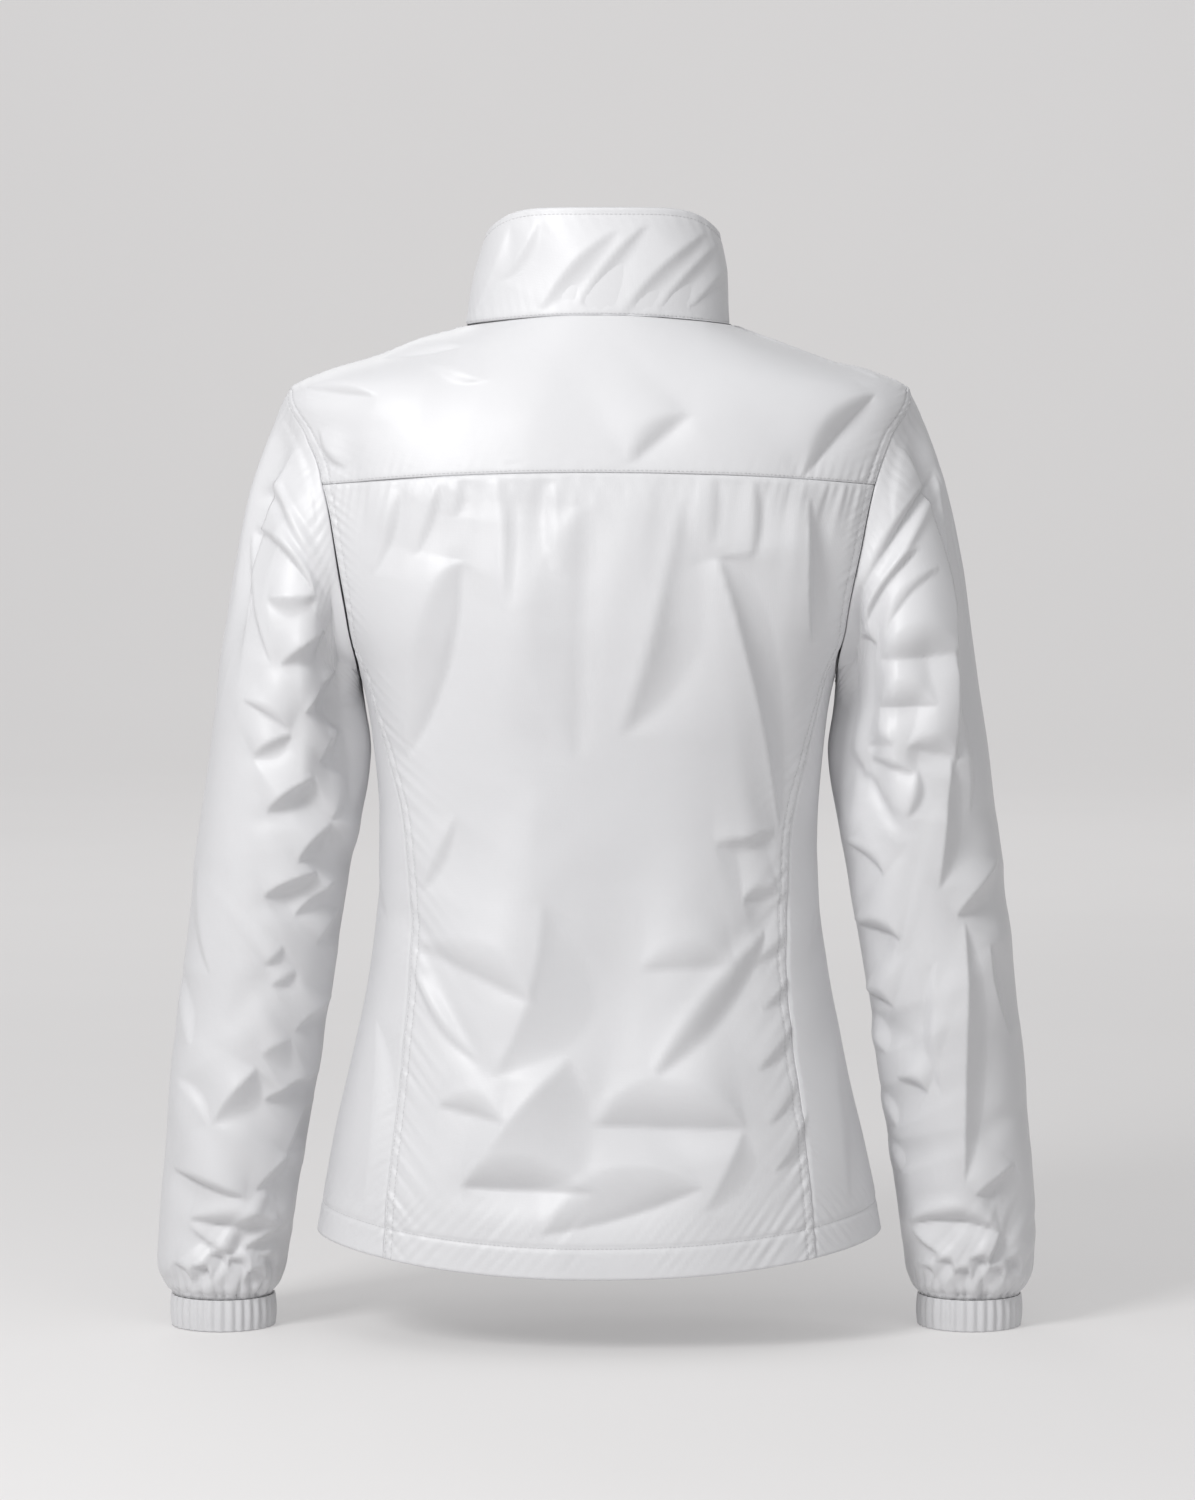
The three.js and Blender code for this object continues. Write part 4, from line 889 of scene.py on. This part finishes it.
def add_piece(name, mesh, material, replaces=None, body="jacket"):
    piece = bpy.data.objects.new(name, mesh)
    bpy.context.scene.collection.objects.link(piece)
    mesh.materials.append(material)
    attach(piece, body)
    if replaces:
        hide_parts(replaces)
    return piece


def dive(points, normals, depth, sides):
    """Adds a turned-in edge of cloth along the named sides of a grid."""
    pads = (("bottom" in sides, "top" in sides), ("left" in sides, "right" in sides), (0, 0))
    padded = np.pad(points, pads, mode="edge")
    inwards = np.pad(normals, pads, mode="edge") * depth
    turned = np.zeros(padded.shape[:2], bool)
    turned[0] |= "bottom" in sides
    turned[-1] |= "top" in sides
    turned[:, 0] |= "left" in sides
    turned[:, -1] |= "right" in sides
    return padded - inwards * turned[..., None]


def turn_up(points, normals, rows):
    """Adds a hem folded up inside along the first rows of a grid."""
    inside = (points - normals * HEM_THICKNESS)[:rows][::-1]
    edge = points[:1] - normals[:1] * HEM_THICKNESS / 2
    edge = edge + unit(points[:1] - points[1:2]) * HEM_THICKNESS * 0.4
    return np.concatenate([inside, edge, points])


def sewn(cloth, sides, hem_rows=0):
    """The piece's grid with its hem folded up and its seamed sides turned in."""
    points, normals = cloth.surface(), cloth.normals
    if hem_rows:
        points = turn_up(points, normals, hem_rows)
        normals = np.concatenate([normals[:hem_rows][::-1], normals[:1], normals])
    return dive(points, normals, SEAM_TURN, sides)


# Materials
def shader_nodes(name):
    material = bpy.data.materials.new(name)
    material.use_nodes = True
    tree = material.node_tree
    shader = tree.nodes["Principled BSDF"]
    return material, tree, shader


def set_inputs(made, **inputs):
    for key, value in inputs.items():
        made.inputs[key.replace("_", " ")].default_value = value


def node(tree, kind, **inputs):
    made = tree.nodes.new(kind)
    set_inputs(made, **inputs)
    return made


def noise(tree, place, **inputs):
    made = node(tree, "ShaderNodeTexNoise", **inputs)
    tree.links.new(place.outputs["Object"], made.inputs["Vector"])
    return made.outputs["Fac"]


def vary_colour(tree, shader, factor, dark, light):
    colour = tree.nodes.new("ShaderNodeMix")
    colour.data_type = "RGBA"
    set_inputs(colour, A=(*dark, 1), B=(*light, 1))
    tree.links.new(factor, colour.inputs["Factor"])
    tree.links.new(colour.outputs["Result"], shader.inputs["Base Color"])


def vary_gloss(tree, shader, factor, low, high):
    gloss = node(tree, "ShaderNodeMapRange", To_Min=low, To_Max=high)
    tree.links.new(factor, gloss.inputs["Value"])
    tree.links.new(gloss.outputs["Result"], shader.inputs["Roughness"])


def cloth_material(name, dark, light, roughness, thread, weave, crumple):
    """Two crossing sets of threads, soft crumpling, and slight changes of colour and gloss."""
    material, tree, shader = shader_nodes(name)
    link = tree.links.new
    uv = tree.nodes.new("ShaderNodeUVMap")
    uv.uv_map = "cloth"
    place = tree.nodes.new("ShaderNodeTexCoord")
    patches = noise(tree, place, Scale=9.0, Detail=4.0, Roughness=0.55)
    vary_colour(tree, shader, patches, dark, light)
    vary_gloss(tree, shader, patches, roughness - 0.05, roughness + 0.06)

    woven = tree.nodes.new("ShaderNodeMath")
    woven.operation = "MULTIPLY"
    for number, direction in enumerate(("X", "Y")):
        scale = 1 / (thread * 20 / math.pi)
        threads = node(tree, "ShaderNodeTexWave", Scale=scale, Distortion=0.6, Detail_Scale=40)
        threads.bands_direction = direction
        link(uv.outputs["UV"], threads.inputs["Vector"])
        link(threads.outputs["Fac"], woven.inputs[number])
    fine = node(tree, "ShaderNodeBump", Strength=weave, Distance=0.0002)
    link(woven.outputs["Value"], fine.inputs["Height"])

    soft = noise(tree, place, Scale=70.0, Detail=5.0, Roughness=0.5, Distortion=0.4)
    bump = node(tree, "ShaderNodeBump", Strength=crumple, Distance=0.002)
    link(soft, bump.inputs["Height"])
    link(fine.outputs["Normal"], bump.inputs["Normal"])
    link(bump.outputs["Normal"], shader.inputs["Normal"])
    set_inputs(shader, Sheen_Weight=0.12, Sheen_Roughness=0.4, Specular_IOR_Level=0.5)
    return material


def metal_material():
    material, tree, shader = shader_nodes("zip_metal")
    place = tree.nodes.new("ShaderNodeTexCoord")
    brushed = noise(tree, place, Scale=900.0, Detail=3.0)
    vary_gloss(tree, shader, brushed, 0.24, 0.4)
    bump = node(tree, "ShaderNodeBump", Strength=0.1, Distance=0.0001)
    tree.links.new(brushed, bump.inputs["Height"])
    tree.links.new(bump.outputs["Normal"], shader.inputs["Normal"])
    set_inputs(shader, Base_Color=(0.72, 0.73, 0.75, 1), Metallic=1.0)
    return material


# Name, darker and lighter colour, roughness, thread width in metres, and strength of weave and crumpling
NYLON, CUFF_NYLON, THREAD, TAPE = (
    cloth_material(*cloth)
    for cloth in (
        ("nylon", (0.625, 0.625, 0.638), (0.67, 0.67, 0.684), 0.44, 0.0005, 0.12, 0.10),
        ("cuff_nylon", (0.61, 0.61, 0.622), (0.65, 0.65, 0.662), 0.42, 0.0005, 0.12, 0.14),
        ("thread", (0.54, 0.54, 0.55), (0.6, 0.6, 0.61), 0.6, 0.0003, 0.2, 0.1),
        ("zip_tape", (0.72, 0.73, 0.75), (0.78, 0.79, 0.81), 0.7, 0.0012, 0.5, 0.1),
    )
)
METAL = metal_material()


# Cloth pieces
def heights_to_neck(bottom, cells, dense, above):
    """Heights of a piece's rows up to the shoulder point, and from there to the neck."""
    below_shoulder = mix(bottom, SHOULDER_POINT, graded(cells, dense))
    return np.concatenate([below_shoulder, np.linspace(SHOULDER_POINT, NECK, above)[1:]])


def back_grid(heights, cells):
    edge = side_edge(heights, "back")[:, None]
    share = graded(cells, 0.55)[None]
    return torso_at(mix(-edge, edge, share), np.repeat(heights[:, None], cells + 1, 1))


def torso_cloth(points, normals, **trims):
    cloth = Cloth(trim(points, **trims), normals)
    cloth.raised += torso_folds(cloth.base, normals)
    return cloth


def armhole_sewing(cloth, seed):
    """Topstitch beside both armholes, with the cloth puckered between it and the seam."""
    for number, edge in enumerate(("left", "right")):
        cloth.groove(edge, at=ARMHOLE_STITCH, depth=0.6, width=1.4)
        cloth.pucker(edge, 2.8, 4.0, 0.65, seed + number, slant=0.7)
        cloth.pucker(edge, 4.4, 8, 0.35, seed + 2 + number, slant=0.6)


def make_back():
    yoke = torso_cloth(*back_grid(heights_to_neck(YOKE_BOTTOM, 36, 0.3, 64), 190))
    yoke.crumple(1.2, (46, 46, 60), 11)
    for edge in ("bottom", "top"):
        yoke.groove(edge, depth=0.5)
    yoke.pucker("bottom", 3.4, 4.5, 0.45, 21)
    armhole_sewing(yoke, 22)
    add_sheet("back_yoke", sewn(yoke, ALL_SIDES), like=(0, 1, 0.5))
    places = (ARMHOLE_EDGE_STITCH, ARMHOLE_STITCH)
    lines = [yoke.line(edge, at) for edge in ("left", "right") for at in places]
    add_stitches("back_yoke_stitches", [yoke.line("bottom", YOKE_STITCH), *lines])

    body = torso_cloth(*back_grid(mix(HEM, YOKE_BOTTOM, graded(230, 0.35)), 180), bottom=False)
    body.crumple(1.6, (48, 48, 92), 31)
    body.groove("top", depth=0.5)
    for edge in ("left", "right"):
        body.groove(edge, depth=0.4)
    body.groove("bottom", at=HEM_LINE, depth=0.9, width=1.5)
    body.pucker("top", 3.4, 7, 0.7, 41)
    body.pucker("top", 7, 15, 0.8, 45)
    for side, edge in ((1, "left"), (-1, "right")):
        body.pucker(edge, 3.6, 4.5, 0.7, 42 + side, slant=0.8)
        body.pucker(edge, 7, 9, 0.55, 46 + side, slant=0.9, ends=(0, 0.75))
        body.groove(edge, at=PANEL_STITCH, depth=0.45, width=1.3)
    body.pucker("bottom", 4.4, 7, 0.7, 44, slant=0.9, at=HEM_LINE)
    add_sheet("back_body", sewn(body, SEAMED_SIDES, hem_rows=14), like=(0, 1, 0))
    lines = [body.line(edge, at) for edge in ("left", "right") for at in (SEAM_STITCH, PANEL_STITCH)]
    add_stitches("back_body_stitches", [*lines, body.line("bottom", HEM_LINE)])


def panel_sewing(cloth, seed, reach, height, slant):
    """Grooves and puckers along the seams and the hem's stitches. The last three are the right edge's."""
    for edge in SEAMED_SIDES:
        cloth.groove(edge)
    cloth.groove("bottom", at=HEM_LINE, depth=0.7, width=1.5)
    cloth.pucker("left", 4.0, 5.0, 0.5, seed, slant=0.8)
    cloth.pucker("right", 4.0, reach, height, seed + 2, slant=slant)
    cloth.pucker("bottom", 4.4, 7, 0.6, seed + 4, slant=0.9, at=HEM_LINE)


def make_front(name, side):
    heights = heights_to_neck(HEM, 200, 0.3, 40)
    share = graded(84, 0.4)[None]
    angles = mix(side_edge(heights, "front")[:, None], zip_edge(heights, ZIP_HALF_WIDTH)[:, None], share)
    points, normals = torso_at(side * angles, np.repeat(heights[:, None], share.shape[1], 1))
    front = torso_cloth(points, normals, bottom=False)
    front.crumple(0.8, (52, 52, 80), 51 + side)
    panel_sewing(front, 61 + side, reach=6.0, height=0.4, slant=0.0)
    front.groove("right", at=ZIP_STITCH, depth=0.5, width=1.5)
    add_sheet(name, sewn(front, SEAMED_SIDES, hem_rows=12), like=(side * 0.5, -1, 0))
    lines = (("left", SEAM_STITCH), ("right", ZIP_STITCH), ("bottom", HEM_LINE))
    add_stitches(f"{name}_stitches", [front.line(*line) for line in lines])


def make_side_panel(name, side):
    turns = mix(PANEL_TURN, 2 * math.pi - PANEL_TURN, graded(86, 0.4))[None]
    t = graded(170, 0.3)[:, None]
    tops = armhole_height(turns)
    top_angles = armhole_angle(turns)
    heights = mix(HEM, tops, t)
    share = (top_angles - top_angles[:, :1]) / (top_angles[:, -1:] - top_angles[:, :1])

    def between(height):
        return mix(side_edge(height, "back"), side_edge(height, "front"), share)

    settle = t**6 * (top_angles - between(tops))
    points, normals = torso_at(side * (between(heights) + settle), heights)
    panel = torso_cloth(points, normals, bottom=False)
    panel.crumple(0.7, (40, 40, 70), 71 + side)
    panel_sewing(panel, 81 + side, reach=5.0, height=0.5, slant=0.8)
    add_sheet(name, sewn(panel, SEAMED_SIDES, hem_rows=10), like=(side, 0, 0))
    add_stitches(f"{name}_stitches", [panel.line("bottom", HEM_LINE)])


def make_collar():
    rises = np.linspace(0, 1, 46)[:, None]
    edge = collar_zip_edge(rises, ZIP_HALF_WIDTH)
    angles = mix(-edge, edge, graded(230, 0.2)[None])
    points, normals = collar_at(angles, np.repeat(rises, angles.shape[1], 1))
    collar = Cloth(trim(points, top=False), normals)
    clear_of_zip = np.where(normals[..., 1] < 0, smoothstep(np.abs(points[..., 0]), *COLLAR_CLEAR), 1)
    for facing in (normals[..., 1], -normals[..., 1]):
        collar.raised += facet_offset(COLLAR_FACETS, points, facing) * clear_of_zip
    collar.crumple(0.4, (30, 30, 30), 91)
    for edge in ("bottom", "left", "right"):
        collar.groove(edge)
    collar.groove("top", at=COLLAR_STITCH, depth=0.35, width=1.2)
    collar.pucker("top", 4.5, 5, 0.3, 92, ends=(0.25, 0.55))
    collar.pucker("bottom", 4.5, 6, 0.35, 93)
    outer = collar.surface()
    inner = (collar.base - normals * COLLAR_THICKNESS)[::-1]
    rim = outer[-1:] - normals[-1:] * COLLAR_THICKNESS / 2 + xyz(0, 0, COLLAR_RIM_RISE)
    points = np.concatenate([outer, rim, inner])
    normals = np.concatenate([normals, normals[-1:], -normals[::-1]])
    add_sheet("collar", dive(points, normals, SEAM_TURN, ALL_SIDES))
    lines = (("top", COLLAR_STITCH), ("bottom", YOKE_STITCH))
    add_stitches("collar_stitches", [collar.line(*line) for line in lines])


def make_sleeve(name, side):
    turn = np.linspace(0, 2 * math.pi, SLEEVE_COLUMNS, endpoint=False)[None]
    place = np.concatenate([graded(90, 0.2), np.linspace(1, 2, 190)[1:]])[:, None]
    turn, place = np.broadcast_arrays(turn, place)
    points, normals = sleeve_at(name, turn, place)
    sleeve = Cloth(points, normals)
    sleeve.raised += sleeve_folds(name, points, normals, turn, place)
    before = sleeve.raised.copy()
    sleeve.crumple(1.5, (32, 32, 46), 101 + side)
    sleeve.raised = mix(before, sleeve.raised, smoothstep(place, 0, 0.15))
    sleeve.groove("bottom", depth=0.4)
    sleeve.pucker("bottom", 3.6, 7, 0.6, 105 + side, slant=0.6)
    down = np.maximum((2 - place) * (SLEEVE_TOP - SLEEVE_BOTTOM), 0)
    sleeve.raised += gathers(turn, down, 111 + side)
    add_sheet(f"sleeve_{name}", sewn(sleeve, ("bottom", "top")), closed=True)


def gathers(turn, down, seed):
    """Uneven gathers that rise from the cuff seam, each of its own width, height and length."""
    random = np.random.default_rng(seed)
    centres = np.arange(GATHER_COUNT) + random.uniform(-0.32, 0.32, GATHER_COUNT)
    raised = np.zeros(turn.shape)
    for centre in centres * 2 * math.pi / GATHER_COUNT:
        width = random.uniform(*GATHER_WIDTH)
        length = random.uniform(*GATHER_LENGTH)
        depth = random.uniform(*GATHER_DEPTH)
        drift = random.uniform(-GATHER_DRIFT, GATHER_DRIFT)
        gap = (turn - centre - drift * down + math.pi) % (2 * math.pi) - math.pi
        raised -= depth * np.exp(-np.abs(gap / width) ** 1.15) * np.exp(-((down / length) ** 2))
    puff = GATHER_PUFF * np.exp(-(((down - 16) / 16) ** 2)) * smoothstep(down, 0, 8)
    return raised * smoothstep(down, 0, 2) + puff - WRIST_PINCH * np.exp(-((down / 3) ** 2))


def make_cuff(name, side):
    top = SLEEVE_BOTTOM - CUFF_GAP
    turn = np.linspace(0, 2 * math.pi, RIB_COUNT * RIB_STEPS, endpoint=False)[None]
    down = np.linspace(0, 1, 22)[:, None]
    random = np.random.default_rng(121 + side)
    knots = np.append(random.uniform(-0.35, 0.35, 24), 0)
    bends = np.interp(turn, np.linspace(0, 2 * math.pi, len(knots)), knots)
    wave = 0.5 + 0.5 * np.cos(RIB_COUNT * turn + bends)
    swell = 0.35 + 0.65 * np.sin(math.pi * mix(0.12, 0.9, down)) ** 0.6
    raise_by = RIB_DEPTH * (wave**0.8 - 0.25) * swell + 0.6 * np.sin(math.pi * down) - 0.5
    base = sleeve_section(name, turn, np.full((len(down), turn.size), float(SLEEVE_BOTTOM)))
    base[..., 2] = mix(top, top - CUFF_HEIGHT, down)
    out = np.broadcast_to(xyz(side * np.cos(turn), np.sin(turn), 0), base.shape)
    outer = base + out * raise_by[..., None]
    inner = (base - out * CUFF_THICKNESS)[::-1]
    points = np.concatenate([outer, inner, outer[:1]])
    add_sheet(f"cuff_{name}", points, closed=True,
              material=CUFF_NYLON)


def make_tape(name, side):
    heights = np.linspace(HEM, NECK, 260)[:, None]
    distance = np.linspace(ZIP_HALF_WIDTH - HALF_GAP, TAPE_INNER, TAPE_COLUMNS)[None]
    points, normals = torso_at(side * zip_edge(heights, distance), np.repeat(heights, TAPE_COLUMNS, 1))
    points = points + normals * torso_folds(points, normals)[..., None]
    rises = np.linspace(0, 1, 36)[1:, None]
    angles = side * collar_zip_edge(rises, distance)
    collar_points, collar_normals = collar_at(angles, np.repeat(rises, TAPE_COLUMNS, 1))
    points = np.concatenate([points, collar_points])
    normals = np.concatenate([normals, collar_normals])
    turned_in = dive(points, normals, 1, ("left", "bottom", "top"))
    add_sheet(name, turned_in, like=(0, -1, 0),
              material=TAPE)
    return points, normals


def add_sheet(
    name, points, like=None, closed=False, material=NYLON
):
    """Cloth on a grid of points, in place of the solid of that name."""
    mesh = grid_mesh(name, points, closed, like)
    piece = add_piece(f"{name}_cloth", mesh, material, replaces=name)


def add_stitches(name, lines):
    """Rows of small sewn stitches, each a short thread that dips into the cloth at both ends."""
    centres, ways, normals = [], [], []
    for points, outs in lines:
        along = lengths(points[:, None], 0)[:, 0]
        places = np.arange(STITCH_PITCH / 2, along[-1], STITCH_PITCH)
        at = along_line(places, along, points)
        centres.append(at)
        ways.append(unit(along_line(places + 0.5, along, points) - at))
        normals.append(unit(along_line(places, along, outs)))
    centres, ways, normals = (np.concatenate(parts)[:, None, None] for parts in (centres, ways, normals))
    across = np.cross(ways, normals)
    ring = np.array([-0.5, -0.3, 0.3, 0.5])[None, :, None, None] * STITCH_LENGTH
    drop = np.array([-0.25, 0.08, 0.08, -0.25])[None, :, None, None]
    turn = np.linspace(0, 2 * math.pi, 5, endpoint=False)[None, None, :, None]
    points = centres + ways * ring + normals * drop
    points = points + (across * np.cos(turn) + normals * np.sin(turn)) * STITCH_RADIUS
    local = []
    for i in range(3):
        for j in range(5):
            a, b = i * 5 + j, i * 5 + (j + 1) % 5
            local.append((a, b, b + 5, a + 5))
    add_piece(name, new_mesh(name, points, repeated(local, 20, len(points))), THREAD)


def make_teeth(points, normals):
    """Interlocked teeth along the closed zip, in turn from each tape."""
    line = points[:, -1]
    along = lengths(line[:, None], 0)[:, 0]
    places = np.arange(2, along[-1] - ZIP_TOP_CLEAR, TOOTH_PITCH)
    centre = along_line(places, along, line)
    up = unit(along_line(places + 1, along, line) - centre)
    out = unit(along_line(places, along, normals[:, -1]))
    side = np.cross(up, out)
    turn = np.where(np.arange(len(places)) % 2, 1, -1)[:, None]
    centre[:, 0] = 0
    centre = centre + out * TOOTH_RISE + side * turn * TOOTH_SHIFT
    corners = []
    for end in (-1, 1):
        for dx, dy in TOOTH_PROFILE:
            corners.append(centre + side * dx + out * dy + up * end * TOOTH_HALF_HEIGHT)
    points = np.stack(corners, 1)
    box = [(0, 1, 2, 3), (7, 6, 5, 4), (0, 4, 5, 1), (1, 5, 6, 2), (2, 6, 7, 3), (3, 7, 4, 0)]
    mesh = new_mesh("zip_teeth", points, repeated(box, 8, len(points)), smooth=False)
    teeth = add_piece("zip_teeth", mesh, METAL)
    bevel = teeth.modifiers.new("worn_edges", "BEVEL")
    bevel.width = TOOTH_WORN_EDGE
    bevel.segments = 1


# Stage, light and camera
def make_camera():
    camera = bpy.data.objects.new("camera", bpy.data.cameras.new("camera"))
    camera.data.sensor_fit = "VERTICAL"
    camera.data.sensor_height = SENSOR_HEIGHT
    camera.data.lens = LENS
    camera.location = CAMERA_PLACE
    camera.rotation_euler = (math.pi / 2 - CAMERA_PITCH, 0, math.pi)
    bpy.context.scene.collection.objects.link(camera)
    bpy.context.scene.camera = camera


def make_light(name, place, aim, size, power):
    lamp = bpy.data.lights.new(name, "AREA")
    lamp.shape = "RECTANGLE"
    lamp.size, lamp.size_y = size
    lamp.energy = power
    light = bpy.data.objects.new(name, lamp)
    light.location = place
    way = np.array(aim, float) - np.array(place, float)
    tilt = math.acos(-way[2] / np.linalg.norm(way))
    light.rotation_euler = (tilt, 0, math.atan2(way[1], way[0]) - math.pi / 2)
    bpy.context.scene.collection.objects.link(light)


def make_stage():
    """Floor that turns up into a wall, with a faint glow that evens out its light."""
    floor = FLOOR * MM
    turn = np.linspace(0, math.pi / 2, 16)
    wall = FLOOR_BACK - COVE_RADIUS
    y = np.concatenate([[FLOOR_FRONT], FLOOR_BACK - COVE_RADIUS * np.sin(turn), [wall]])
    z = np.concatenate([[floor], floor + COVE_RADIUS * (1 - np.cos(turn)), [WALL_TOP]])
    x = np.linspace(-FLOOR_HALF_WIDTH, FLOOR_HALF_WIDTH, 9)
    mesh = grid_mesh("backdrop", xyz(x[None], y[:, None], z[:, None]) / MM)
    backdrop = bpy.data.objects.new("backdrop", mesh)
    bpy.context.scene.collection.objects.link(backdrop)
    material, tree, shader = shader_nodes("backdrop")
    grain = noise(tree, tree.nodes.new("ShaderNodeTexCoord"), Scale=3.0, Detail=2.0)
    vary_colour(tree, shader, grain, (0.42, 0.414, 0.412), (0.44, 0.434, 0.432))
    set_inputs(shader, Roughness=0.9)
    set_inputs(shader, Emission_Color=(1, 0.985, 0.985, 1), Emission_Strength=BACKDROP_GLOW)
    mesh.materials.append(material)


def make_world():
    world = bpy.data.worlds.new("studio")
    world.use_nodes = True
    set_inputs(world.node_tree.nodes["Background"], Color=(0.99, 0.99, 1, 1), Strength=SKY_STRENGTH)
    bpy.context.scene.world = world


bpy.context.scene.view_settings.view_transform = "Standard"
make_camera()
make_stage()
make_world()
for light in LIGHTS:
    make_light(*light)

make_back()
make_front("front_left", 1)
make_front("front_right", -1)
make_side_panel("side_panel_left", 1)
make_side_panel("side_panel_right", -1)
make_collar()
make_sleeve("left", 1)
make_sleeve("right", -1)
make_cuff("left", 1)
make_cuff("right", -1)
left_tape = make_tape("zip_tape_left", 1)
make_tape("zip_tape_right", -1)
make_teeth(*left_tape)
for metal_node in ("zip_slider", "zip_pull_tab"):
    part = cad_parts[metal_node]
    part.data.materials.clear()
    part.data.materials.append(METAL)
